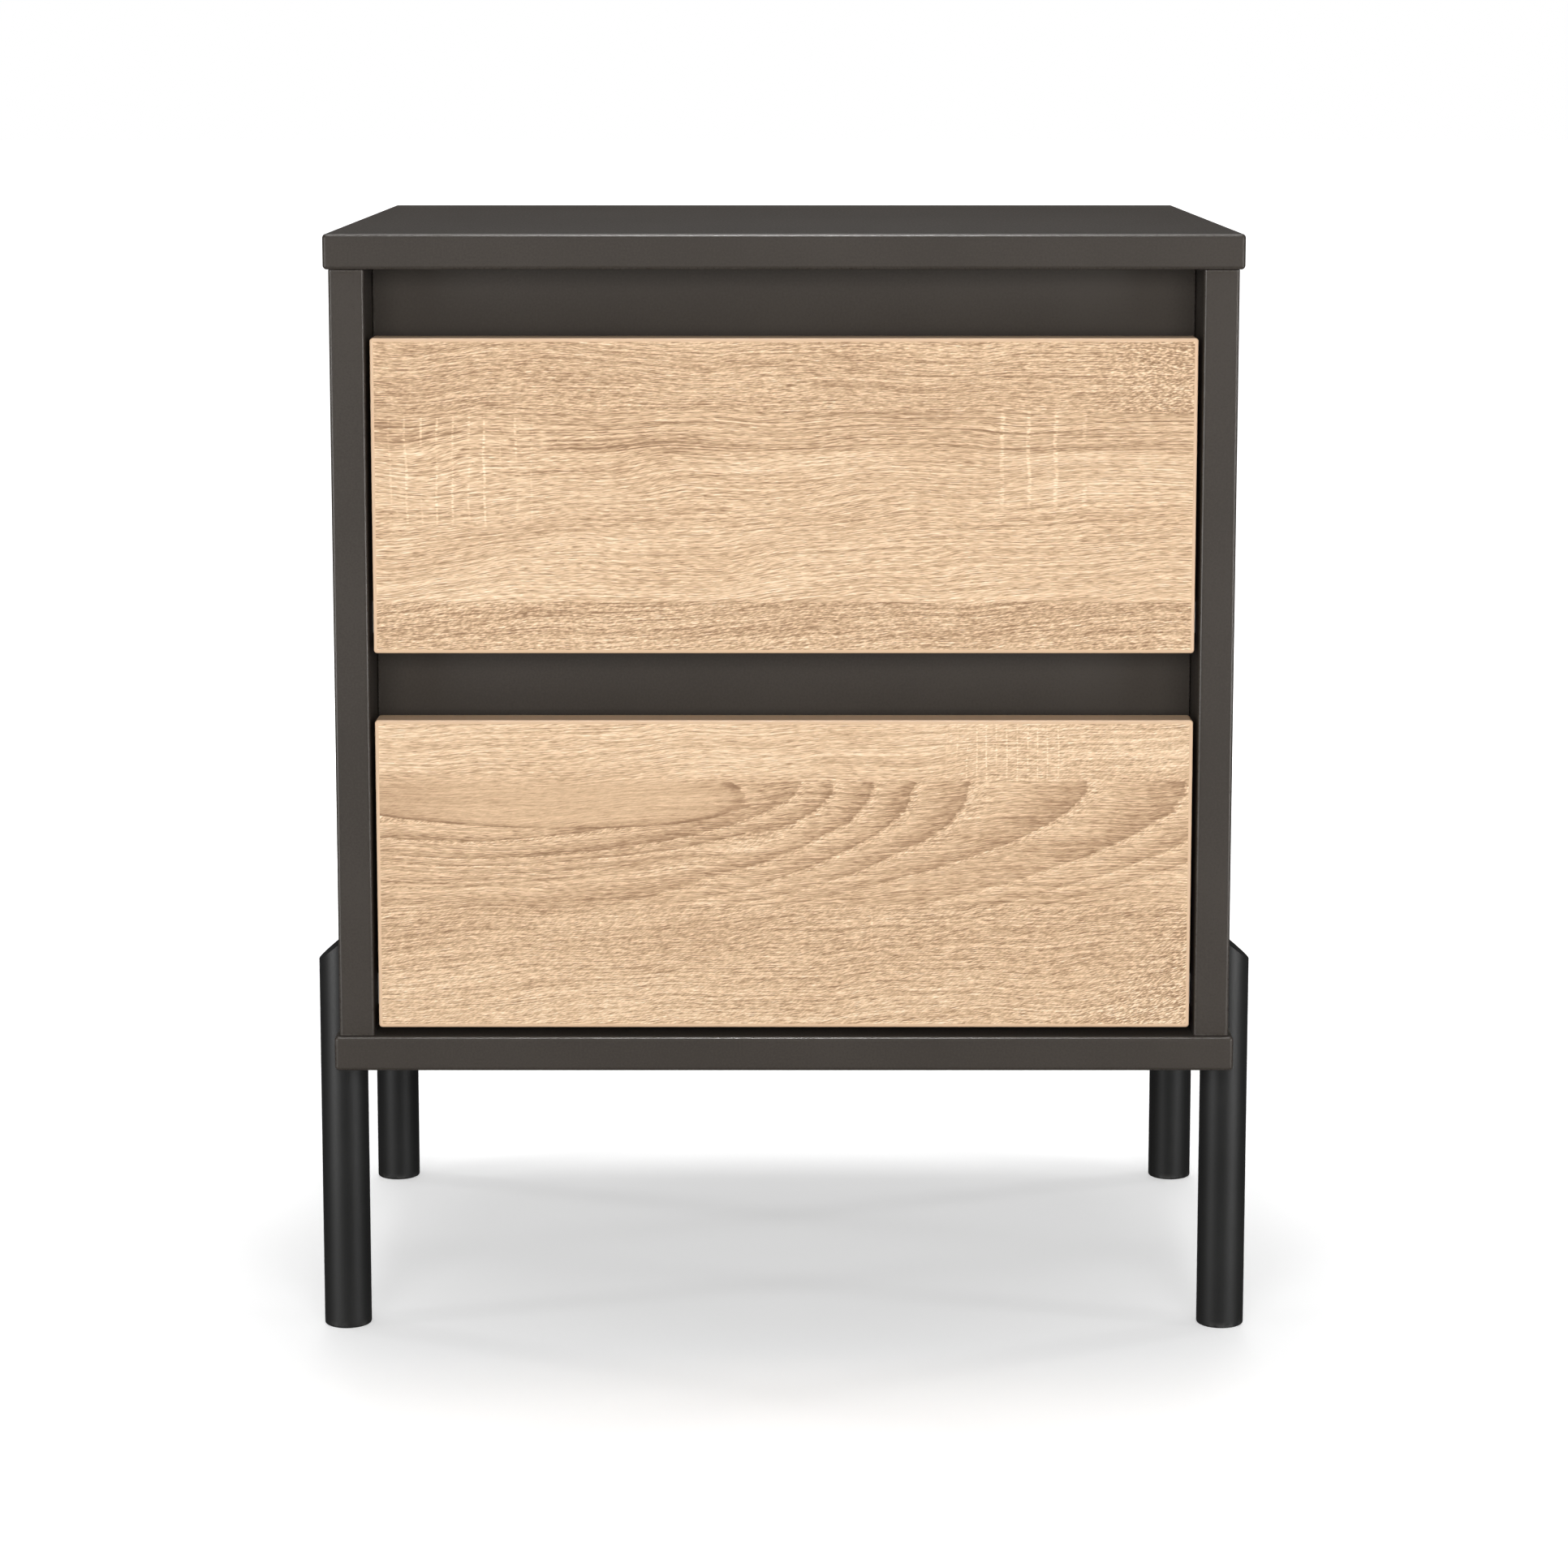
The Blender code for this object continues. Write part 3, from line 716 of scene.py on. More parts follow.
# %% [markdown]
# ## Oak effect
# The fronts are boards pressed with a pale sawn-oak decor. All of its marks can be seen
# as one tone between brown and cream, so each mark only adds to or takes from that tone,
# and a single ramp turns the sum into colour. Two shared groups do this: one lays the
# strands, dashes and crinkled flecks of the grain, and one turns tone into colour.

# %% Oak grain group
oak_grain, taken, given = new_group(
    "oak_grain", [("Along", FLOAT, None), ("Across", FLOAT, None), ("Depth", FLOAT, None)],
    [("Strands", FLOAT), ("Dashes", FLOAT), ("Flecks", FLOAT)])


# How far each row of strands slips past the last, in strand lengths.
SLIP = 0.618


def strand_noise(length, width, detail, slip, offset):
    """Noise drawn out along the grain; each row slips past the last, so no columns show."""
    across = ratio(oak_grain, taken["Across"], width)
    along = total(oak_grain, ratio(oak_grain, taken["Along"], length), offset)
    along = total(oak_grain, along, times(oak_grain, across, slip))
    place = join(oak_grain, along, ratio(oak_grain, taken["Depth"], length), across)
    return noise(oak_grain, place, 1.0, detail)


fine = strand_noise(0.0050, 0.00048, 1.0, SLIP, 0.0)
long = strand_noise(0.0800, 0.00085, 0.0, -SLIP, 31.0)
strands = total(oak_grain, times(oak_grain, fine, 0.60),
               times(oak_grain, long, 0.40))
strands = span(oak_grain, strands, 0.35, 0.65, -1.0, 1.0, False)


def thread_lines(length, width, slip, offset):
    """Thin lines along the grain, where a slow noise passes through its middle value."""
    wave = strand_noise(length, width, 0.0, slip, offset)
    distance = calc(oak_grain, "ABSOLUTE", minus(oak_grain, wave, 0.5))
    return span(oak_grain, distance, 0.075, 0.015)


pale_thread = thread_lines(0.0070, 0.00070, -SLIP, 51.0)
brown_thread = thread_lines(0.0100, 0.00085, SLIP, 64.0)
threads = minus(oak_grain, times(oak_grain, pale_thread, 0.50),
               times(oak_grain, brown_thread, 0.60))
feed(oak_grain, given["Strands"], total(oak_grain, times(oak_grain, strands, 0.85), threads))
dash = strand_noise(0.0080, 0.00070, 1.0, -SLIP, 77.0)
feed(oak_grain, given["Dashes"], span(oak_grain, dash, 0.60, 0.72))
fleck = strand_noise(0.0022, 0.00080, 1.0, 0.5, 13.0)
feed(oak_grain, given["Flecks"], span(oak_grain, fleck, 0.40, 0.66, -1.0, 1.0, False))
print("oak grain nodes:", len(oak_grain.nodes))

# %% Oak colour group
TONES = [(0.00, (0.305, 0.175, 0.090)), (0.22, (0.470, 0.290, 0.164)),
         (0.50, (0.702, 0.480, 0.292)), (0.75, (0.905, 0.666, 0.440)),
         (1.00, (0.960, 0.850, 0.655))]
EDGING = (0.732, 0.506, 0.325)
SHEEN_RANGE = (0.56, 0.42)
oak_colour, taken, given = new_group(
    "oak_colour", [("Tone", FLOAT, None), ("Edging Mask", FLOAT, None)],
    [("Colour", "NodeSocketColor"), ("Sheen Map", FLOAT)])
ramp = oak_colour.nodes.new("ShaderNodeValToRGB")
for position, shade in TONES[1:-1]:
    ramp.color_ramp.elements.new(position)
for element, (position, shade) in zip(ramp.color_ramp.elements, TONES):
    element.position = position
    element.color = (*shade, 1.0)
feed(oak_colour, ramp.inputs["Fac"], taken["Tone"])
banded = blend_colour(oak_colour, taken["Edging Mask"], ramp.outputs["Color"], EDGING)
feed(oak_colour, given["Colour"], banded)
feed(oak_colour, given["Sheen Map"], span(oak_colour, taken["Tone"], 0.2, 0.9, *SHEEN_RANGE))
print("oak colour nodes:", len(oak_colour.nodes))


# %% [markdown]
# ### Laying out a front
# A figure is drawn in the front's own coordinates: along from the middle to the right,
# and down from the top edge. A plank has straight edges, so a mask for it is a step
# across the board, roughened a little. Tongues are nested growth rings that end in round
# tips, and a parabola lying on its side gives that shape.

# %% Oak helpers: places and masks
EDGING_WIDTH = 0.0019


def front_coordinates(tree, node):
    """Along, down and depth of a point on a drawer front, and its edging mask."""
    middle, half = middle_and_half(node)
    place = vector_calc(tree, "SUBTRACT", own_place(tree), tuple(middle))
    along, depth, up = split(tree, place)
    down = minus(tree, half.z, up)
    reach_x = minus(tree, half.x, calc(tree, "ABSOLUTE", along))
    reach_z = minus(tree, half.z, calc(tree, "ABSOLUTE", up))
    inside = calc(tree, "MINIMUM", reach_x, reach_z)
    rim = span(tree, inside, EDGING_WIDTH + 0.0001, EDGING_WIDTH - 0.0001)
    return along, down, depth, rim


def between(tree, value, low, high, soft):
    """1 between two places, falling to 0 over a soft width on each side."""
    rise = span(tree, value, low - soft, low + soft)
    fall = span(tree, value, high + soft, high - soft)
    return times(tree, rise, fall)


def signed(tree, value, amount):
    """Turn noise around one half into plus or minus an amount."""
    return times(tree, minus(tree, value, 0.5), 2 * amount)


print("width of the edging:", EDGING_WIDTH, "m")

# %% Oak helpers: patterns and surface


def flat_noise(tree, along, down, length, width, detail=2.0, offset=0.0):
    """Noise on the face of a front, with a length and a width in metres."""
    place = join(tree, total(tree, ratio(tree, along, length), offset), offset,
                 ratio(tree, down, width))
    return noise(tree, place, 1.0, detail)


def ramp_values(tree, value, stops):
    """A piecewise straight curve through (position, height) stops."""
    low, high = stops[0][0], stops[-1][0]
    node = tree.nodes.new("ShaderNodeValToRGB")
    elements = node.color_ramp.elements
    for _ in stops[1:-1]:
        elements.new(0.5)
    for element, (position, level) in zip(elements, stops):
        element.position = (position - low) / (high - low)
        element.color = (level, level, level, 1.0)
    feed(tree, node.inputs["Fac"], span(tree, value, low, high, smooth=False))
    return node.outputs["Color"]


def saw_marks(tree, along, down, left, right, top, bottom, pitch, seed):
    """Short pale upright marks of a frame saw, in one patch of the face."""
    sway = signed(tree, flat_noise(tree, along, down, 0.02, 0.03, 1.0, seed), 0.0020)
    phase = ratio(tree, total(tree, along, sway), pitch)
    stripe = calc(tree, "PINGPONG", phase, 0.5)
    line = span(tree, stripe, 0.120, 0.020)
    gaps = flat_noise(tree, along, down, pitch * 1.1, 0.045, 1.0, seed + 5)
    broken = span(tree, gaps, 0.36, 0.52)
    crumb = span(tree, flat_noise(tree, along, down, 0.0030, 0.0010, 0.0, seed + 9), 0.36, 0.60)
    patch = times(tree, between(tree, along, left, right, 0.010),
                  between(tree, down, top, bottom, 0.003))
    return times(tree, line, broken, crumb, patch)


def oak_surface(tree, shader, tone, rim, relief):
    """Feed tone, edging and relief into the shader of a front."""
    result = place_group(tree, oak_colour, Tone=tone, Edging_Mask=rim)
    bare = minus(tree, 1.0, rim)
    coat(tree, shader, result["Colour"], result["Sheen Map"], times(tree, relief, bare), 0.00006,
         0.6)


print("sheen runs from", SHEEN_RANGE[0], "to", SHEEN_RANGE[1], "in roughness")

# %% [markdown]
# ### Upper front
# Five planks run across it. The grain dips and rises gently in the top one and rises to
# the right in the middle ones, and the bottom one is browner with crinkled flecks. Pale
# saw marks show in two patches on the second plank.

# %% Upper oak: planks and grain
# How pale the board is at each distance below its top edge.
UPPER_BANDS = [
    (0.0000, 0.48), (0.0300, 0.47), (0.0370, 0.49), (0.0382, 0.34), (0.0405, 0.48),
    (0.0470, 0.49), (0.0480, 0.38), (0.0500, 0.49), (0.0560, 0.40), (0.0590, 0.57),
    (0.0780, 0.55), (0.0900, 0.52), (0.1040, 0.54), (0.1180, 0.58), (0.1335, 0.60),
    (0.1350, 0.43), (0.1450, 0.48), (0.1500, 0.42), (0.1540, 0.52), (0.1610, 0.49)]
upper_oak, tree, shader = new_finish("oak_upper_front", Specular_IOR_Level=0.35)
along, down, depth, rim = front_coordinates(tree, "upper_drawer_front")
swell = signed(tree, flat_noise(tree, along, down, 0.085, 0.060, 1.0, 3.0), 0.0080)
ripple = signed(tree, flat_noise(tree, along, down, 0.016, 0.010, 2.0, 8.0), 0.0004)
lean = times(tree, along, span(tree, down, 0.0, 0.110), 0.060)
level = total(tree, down, swell, ripple, lean)
grain = place_group(tree, oak_grain, Along=along, Across=level, Depth=depth)
wander = signed(tree, flat_noise(tree, along, down, 0.09, 0.02, 2.0, 21.0), 0.0018)
band = total(tree, down, wander)
tone = ramp_values(tree, band, UPPER_BANDS)
broad = signed(tree, flat_noise(tree, along, level, 0.110, 0.0030, 2.0, 40.0), 0.06)
streak = span(tree, flat_noise(tree, along, level, 0.150, 0.0013, 1.0, 47.0), 0.57, 0.68)
streak = times(tree, streak, total(tree, between(tree, down, 0.039, 0.058, 0.002), 0.20), 0.30)
print("planks and grain:", len(tree.nodes), "nodes")

# %% Upper oak: rough zones, saw marks and colour
top_band = span(tree, down, 0.040, 0.036)
low_band = span(tree, down, 0.1330, 0.1360)
knurl = times(tree, span(tree, along, 0.145, 0.195), top_band)
rough_zone = total(tree, times(tree, top_band, 0.45),
                   times(tree, low_band, 0.75), knurl)
strand_part = times(tree, grain["Strands"], minus(tree, 0.35, times(tree, knurl, 0.10)))
fleck_part = times(tree, grain["Flecks"], rough_zone, 0.24)
dash_part = times(tree, grain["Dashes"], total(tree, times(tree, top_band, 0.22), 0.20))
dark_part = total(tree, dash_part, streak)
marks = total(tree, saw_marks(tree, along, down, -0.200, -0.130, 0.040, 0.094, 0.0080, 4.0),
              saw_marks(tree, along, down, 0.100, 0.156, 0.037, 0.086, 0.0138, 6.0))
tone = total(tree, tone, broad, strand_part, fleck_part, times(tree, dark_part, -1.0),
             times(tree, marks, 0.31))
oak_surface(tree, shader, tone, rim, total(tree, grain["Strands"], grain["Flecks"]))
print("upper oak nodes:", len(tree.nodes))

# %% [markdown]
# ### Lower front
# A pale plank runs along the top. Under it lies a broad plank with a cathedral figure:
# brown tongues whose round tips meet the plank's straight upper edge and whose tails
# sweep down to the left. The third plank has short dark strokes that rise to the right.

# %% Lower oak: the ring field
PLANK_TOP = 0.0318
PLANK_BOTTOM = 0.0962
TONGUE_START, TONGUE_LENGTH = -0.122, 0.1015
TONGUE_MIDDLE, TONGUE_HALF = 0.0400, 0.0165
# Left of this place the rings crowd together, at this rate.
CROWDED, CROWDING = 0.0146, 0.1456
# Where the tips of the rings lie along the plank's upper edge.
RINGS = (-0.0620, -0.0300, 0.0071, 0.0245, 0.0466, 0.0666, 0.0965, 0.1547, 0.2059, 0.2350,
         0.2608)
# How sharply each ring bends away from its tip.
RING_BEND = [(-0.020, 0.0187), (0.010, 0.0187), (0.030, 0.0299), (0.050, 0.0310),
             (0.075, 0.0374), (0.110, 0.0390), (0.155, 0.0250), (0.240, 0.0333), (0.330, 0.0333)]
lower_oak, tree, shader = new_finish("oak_lower_front", Specular_IOR_Level=0.35)
along, down, depth, rim = front_coordinates(tree, "lower_drawer_front")
jag = signed(tree, flat_noise(tree, along, down, 0.0032, 0.0017, 3.0, 4.0), 0.0042)
drift = signed(tree, flat_noise(tree, along, down, 0.045, 0.022, 2.0, 15.0), 0.0050)
left_turn = span(tree, along, -0.110, -0.230, 0.0, 1.0, False)
lift = times(tree, left_turn, left_turn, 0.0104)
sink = total(tree, down, -PLANK_TOP, lift)
sink = calc(tree, "MAXIMUM", sink, 0.0)
from_crowded = minus(tree, along, CROWDED)
squeezed = ratio(tree, calc(tree, "MINIMUM", from_crowded, 0.0), CROWDING)
squeezed = times(tree, minus(tree, calc(tree, "EXPONENT", squeezed), 1.0), CROWDING)
reach = total(tree, squeezed, calc(tree, "MAXIMUM", from_crowded, 0.0), CROWDED)
sink_squared = times(tree, sink, sink)
rough_field = total(tree, reach, ratio(tree, sink_squared, 0.0290))
bend = ramp_values(tree, rough_field, RING_BEND)
field = total(tree, reach, ratio(tree, sink_squared, bend))
near_tip = span(tree, sink, 0.055, 0.0, 0.55, 1.0)
field = total(tree, field, times(tree, jag, near_tip), drift)
print("ring field:", len(tree.nodes), "nodes")

# %% Lower oak: rings and tongue
ring_stops = []
for inner, outer in zip(RINGS, RINGS[1:]):
    width = outer - inner
    ring_stops += [(inner + 0.0006, 0.60), (inner + 0.40 * width, 0.48), (outer - 0.0006, 0.24)]
ring_stops.append((RINGS[-1] + 0.0005, 0.55))
ring_tone = ramp_values(tree, field, ring_stops)
fade = span(tree, sink, 0.020, 0.062, 1.0, 0.60)
ring_tone = total(tree, times(tree, total(tree, ring_tone, -0.5), fade), 0.5)
line_stops = [(RINGS[0], 0.0)]
for edge in RINGS[1:]:
    line_stops += [(edge - 0.0022, 0.0), (edge - 0.0004, 1.0), (edge + 0.0002, 0.0)]
worn = span(tree, flat_noise(tree, along, down, 0.030, 0.006, 2.0, 91.0), 0.35, 0.60, 0.25, 1.0)
ring_line = times(tree, ramp_values(tree, field, line_stops), fade, worn)
ring_tone = total(tree, ring_tone, times(tree, ring_line, -0.20))
tongue_across = ratio(tree, minus(tree, along, TONGUE_START), TONGUE_LENGTH)
tongue_across = calc(tree, "MAXIMUM", tongue_across, 0.0)
tongue_down = ratio(tree, total(tree, down, lift, -TONGUE_MIDDLE), TONGUE_HALF)
tongue = total(tree, calc(tree, "POWER", tongue_across, 2.6),
               calc(tree, "POWER", calc(tree, "ABSOLUTE", tongue_down), 2.4),
               times(tree, jag, 18.0))
in_tongue = span(tree, tongue, 1.03, 0.97)
tongue_rim = times(tree, span(tree, tongue, 0.80, 0.97), worn, -0.36)
tongue_end = span(tree, along, -0.150, -0.205, 0.0, -0.10)
tongue_tone = total(tree, span(tree, tongue, 0.35, 1.0, 0.49, 0.38), tongue_end, tongue_rim)
figure = calc(tree, "MULTIPLY_ADD", in_tongue, minus(tree, tongue_tone, ring_tone), ring_tone)
print("rings and tongue:", len(tree.nodes), "nodes")

# %% Lower oak: planks and grain
# How pale the board is at each distance below its top edge, outside the figure.
LOWER_BANDS = [
    (0.0000, 0.60), (0.0200, 0.60), (0.0280, 0.57), (PLANK_TOP, 0.54), (PLANK_BOTTOM, 0.50),
    (0.1080, 0.49), (0.1250, 0.52), (0.1400, 0.57), (0.1610, 0.60)]
joint_blur = span(tree, along, -0.075, -0.010, 0.0060, 0.0003)
plank = span(tree, total(tree, down, times(tree, jag, 0.10)),
             minus(tree, PLANK_TOP, joint_blur), total(tree, PLANK_TOP, joint_blur))
below = span(tree, down, minus(tree, PLANK_BOTTOM, joint_blur),
             total(tree, PLANK_BOTTOM, joint_blur))
swell = signed(tree, flat_noise(tree, along, down, 0.085, 0.060, 1.0, 33.0), 0.0060)
ripple = signed(tree, flat_noise(tree, along, down, 0.016, 0.009, 2.0, 58.0), 0.0004)
lean = times(tree, along, 0.045)
level = total(tree, down, swell, ripple, lean)
grain = place_group(tree, oak_grain, Along=along, Across=level, Depth=depth)
tilted = total(tree, down, times(tree, along, 0.30), ripple)
slanting = place_group(tree, oak_grain, Along=along, Across=tilted, Depth=depth)
base_tone = ramp_values(tree, down, LOWER_BANDS)
in_figure = times(tree, plank, span(tree, below, 1.0, 0.0))
tone = calc(tree, "MULTIPLY_ADD", in_figure, minus(tree, figure, base_tone), base_tone)
broad = signed(tree, flat_noise(tree, along, level, 0.090, 0.0032, 2.0, 71.0), 0.05)
print("planks and grain:", len(tree.nodes), "nodes")

# %% Lower oak: rough zones, saw marks and colour
calm = span(tree, times(tree, in_tongue, in_figure), 0.0, 1.0, 1.0, 0.45)
corner = times(tree, span(tree, total(tree, along, down), 0.285, 0.345), below)
right_top = times(tree, span(tree, along, 0.060, 0.110), minus(tree, 1.0, plank))
outer_edge = times(tree, span(tree, ring_tone, 0.50, 0.60), span(tree, in_tongue, 1.0, 0.0))
fleck_zone = total(tree, times(tree, outer_edge, in_figure, 0.8), times(tree, below, 0.45), corner,
                   times(tree, right_top, 0.45), 0.12)
strokes = times(tree, slanting["Dashes"], below, span(tree, along, -0.20, 0.05, 0.25, 1.0))
marks = total(tree, saw_marks(tree, along, down, 0.085, 0.150, 0.003, 0.031, 0.0052, 12.0),
              saw_marks(tree, along, down, 0.040, 0.052, 0.100, 0.125, 0.0090, 18.0),
              saw_marks(tree, along, down, -0.200, -0.190, 0.128, 0.156, 0.0125, 26.0))
dark_part = total(tree, times(tree, grain["Dashes"], 0.16), times(tree, strokes, 0.55))
tone = total(tree, tone, broad, times(tree, grain["Strands"], calm, 0.31),
             times(tree, slanting["Flecks"], fleck_zone, 0.24), times(tree, marks, 0.30),
             times(tree, dark_part, -1.0))
oak_surface(tree, shader, tone, rim, total(tree, grain["Strands"], slanting["Flecks"]))
print("lower oak nodes:", len(tree.nodes))

# %% [markdown]
# ### The fronts' shape
# The edging makes a thin frame round each front. Its corners are rounded as seen from the
# front, and its long edges are eased, so both roundings are made one after the other.

# %% Drawer fronts
CORNER_RADIUS = 0.0018
FACE_RADIUS = 0.0012


def make_front(node, finish):
    """One drawer front with rounded corners and two pilot holes at the back."""
    low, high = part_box(node)
    work = box_work(low, high)

    def is_depth_edge(edge):
        """True for the four edges that run from front to back."""
        first, second = (vert.co for vert in edge.verts)
        return abs(first.y - second.y) > 0.01

    ease(work, CORNER_RADIUS, is_depth_edge)
    middle_y = (low.y + high.y) / 2
    rim = [edge for edge in work.edges
           if abs(edge.verts[0].co.y - edge.verts[1].co.y) < 1e-6
           and len(edge.link_faces) == 2
           and any(abs(face.normal.y) > 0.9 for face in edge.link_faces)
           and abs(edge.verts[0].co.y - middle_y) > 0.001]
    bmesh.ops.bevel(work, geom=rim, offset=FACE_RADIUS, segments=6, profile=0.5,
                    affect="EDGES", clamp_overlap=True)
    piece = new_piece(f"{node}_board", work, finish)
    drawer = node.split("_")[0]
    holes = [screw_hole(FRONT_SCREW, f"{drawer}_front_{side}_screw", (0, -1, 0))
             for side in ("left", "right")]
    finish_shape(piece, holes)
    stand_in(piece, node)
    return piece


for node, finish in (("upper_drawer_front", upper_oak), ("lower_drawer_front", lower_oak)):
    piece = make_front(node, finish)
    print(node, "faces:", len(piece.data.polygons))

# %% [markdown]
# ## Drawer boxes
# Behind each front is a plain box of 12 mm boards wrapped in pale foil with a faint linen
# print. Foil cannot be folded round a sharp corner, so the edges are slightly round. A
# thin base slides in a groove on all four sides.

# %% Foil and hardboard finishes
FOIL_THREAD = 0.0006
FOIL_EDGE = 0.0007


def make_foil():
    """Pale foil with a faint woven print and a soft sheen."""
    material, tree, shader = new_finish("linen_foil", Specular_IOR_Level=0.35)
    place = own_place(tree)
    broad = place_group(tree, speckle_group, Place=place, Size=700.0)
    warp = noise(tree, stretched(tree, place, 60.0, 60.0, 1 / FOIL_THREAD), 1.0, 1.0)
    weft = noise(tree, stretched(tree, place, 1 / FOIL_THREAD, 1 / FOIL_THREAD, 60.0), 1.0, 1.0)
    weave = times(tree, total(tree, warp, weft), 0.5)
    print_map = total(tree, times(tree, weave, 0.7),
                     times(tree, broad["Broad"], 0.3))
    colour = blend_colour(tree, span(tree, print_map, 0.36, 0.64), (0.600, 0.590, 0.565),
                          (0.690, 0.682, 0.658))
    coat(tree, shader, colour, span(tree, weave, 0.35, 0.65, 0.42, 0.56), weave, 0.00004, 0.5)
    return material


def make_hardboard(name, axis, middle, raw_is_high):
    """Hardboard with one painted face; the raw face shows pressed brown fibre."""
    material, tree, shader = new_finish(name, Specular_IOR_Level=0.30)
    place = own_place(tree)
    depth = minus(tree, split(tree, place)[axis], middle)
    ends = (-0.0004, 0.0004) if raw_is_high else (0.0004, -0.0004)
    raw = span(tree, depth, *ends)
    fibre = noise(tree, place, 420.0, 4.0, 0.65, 0.8)
    clump = noise(tree, place, 35.0, 3.0, 0.6)
    shade = total(tree, times(tree, fibre, 0.88), times(tree, clump, 0.12))
    brown = blend_colour(tree, span(tree, shade, 0.35, 0.65), (0.150, 0.092, 0.052),
                         (0.290, 0.195, 0.120))
    painted = blend_colour(tree, span(tree, shade, 0.35, 0.65), (0.640, 0.630, 0.605),
                           (0.680, 0.672, 0.650))
    coat(tree, shader, blend_colour(tree, raw, painted, brown),
         span(tree, raw, 0.0, 1.0, 0.48, 0.80),
         times(tree, fibre, span(tree, raw, 0.0, 1.0, 0.3, 1.0)), 0.00008, 0.7)
    return material


def dress(node, material):
    """Give a CAD node's own mesh a better material."""
    slots = frame["nodes"][node].data.materials
    slots.clear()
    slots.append(material)


foil = make_foil()
print("foil thread:", FOIL_THREAD)
dress("back_panel", make_hardboard("hardboard_back", 1, (BACK_LOW.y + BACK_HIGH.y) / 2, True))

# %% Drawer boxes
for drawer in DRAWERS:
    base_low, base_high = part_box(f"{drawer}_drawer_base")
    dress(f"{drawer}_drawer_base",
          make_hardboard(f"hardboard_{drawer}_base", 2, (base_low.z + base_high.z) / 2, False))
    for part in ("left_side", "right_side", "box_front", "box_back"):
        cuts = [box_work(base_low - CLEARANCE, base_high + CLEARANCE)]
        if part == "box_front":
            cuts += [screw_hole(FRONT_SCREW, f"{drawer}_front_{side}_screw", (0, -1, 0))
                     for side in ("left", "right")]
        make_board(f"{drawer}_drawer_{part}", FOIL_EDGE, None, cuts, foil)

# %% [markdown]
# ## Runners and rollers
# Each drawer hangs on two pairs of pressed steel runners, powder coated in off-white. A
# nylon roller turns on a stud at the front of each fixed runner and at the rear of each
# moving one. A press brake leaves rounded bends, so the section is a bent strip with a
# real bend radius, and the screws sit in slots.

# %% Runner finishes
def make_speckled(name, size, colours, maps, rough, relief, **fixed):
    """A finish whose colour and gloss each follow one size of the speckle."""
    material, tree, shader = new_finish(name, **fixed)
    speckle = place_group(tree, speckle_group, Place=own_place(tree), Size=size)
    colour = blend_colour(tree, span(tree, speckle[maps[0]], 0.3, 0.7), *colours)
    coat(tree, shader, colour, span(tree, speckle[maps[1]], 0.3, 0.7, *rough),
         speckle["Fine"], *relief)
    return material


coated = make_speckled("powder_coat", 1600.0, [(0.640, 0.640, 0.620), (0.720, 0.720, 0.700)],
                       ("Broad", "Fine"), (0.30, 0.42), (0.00005, 0.5), Specular_IOR_Level=0.5)
nylon = make_speckled("nylon_moulding", 500.0, [(0.740, 0.740, 0.715), (0.800, 0.800, 0.780)],
                      ("Fine", "Broad"), (0.34, 0.44), (0.00003, 0.4), Specular_IOR_Level=0.45,
                      Subsurface_Weight=0.08, Subsurface_Scale=0.002)
zinc, tree, shader = new_finish("zinc_plate", Metallic=1.0)
place = own_place(tree)
speckle = place_group(tree, speckle_group, Place=place, Size=900.0)
plate = blend_colour(tree, span(tree, noise(tree, place, 260.0, 3.0), 0.35, 0.65),
                     (0.520, 0.530, 0.540), (0.680, 0.690, 0.700))
coat(tree, shader, plate, span(tree, speckle["Fine"], 0.3, 0.7, 0.26, 0.42), speckle["Fine"],
     0.00002, 0.5)

beech, tree, shader = new_finish("beech_dowel_wood", Specular_IOR_Level=0.3)
strand = noise(tree, stretched(tree, own_place(tree), 1400.0, 1400.0, 160.0), 1.0, 2.0)
wood = blend_colour(tree, span(tree, strand, 0.35, 0.65), (0.470, 0.300, 0.170),
                    (0.640, 0.450, 0.280))
coat(tree, shader, wood, span(tree, strand, 0.35, 0.65, 0.55, 0.72), strand, 0.00005, 0.5)

for node, slot in NODE_SLOT.items():
    if slot == "zinc_steel":
        dress(node, zinc)
    elif slot == "beech_dowel":
        dress(node, beech)
print("screws and dowels dressed:", sum(slot in ("zinc_steel", "beech_dowel")
                                       for slot in NODE_SLOT.values()))

# %% [markdown]
# ### Bent strips, slots and studs
# A pressing is a flat outline stretched along its length. The outline follows the middle
# line of the sheet round each bend. Slots are cut with a round-ended tool, and a stud is
# turned.

# %% Bent strip
STEEL = 0.0012
BEND_STEPS = 5


def extrude(work, points, line):
    """Stretch a flat outline along a line into a solid."""
    face = work.faces.new([work.verts.new(point) for point in points])
    grown = bmesh.ops.extrude_face_region(work, geom=[face])
    moved = [item for item in grown["geom"] if isinstance(item, bmesh.types.BMVert)]
    bmesh.ops.translate(work, vec=line, verts=moved)


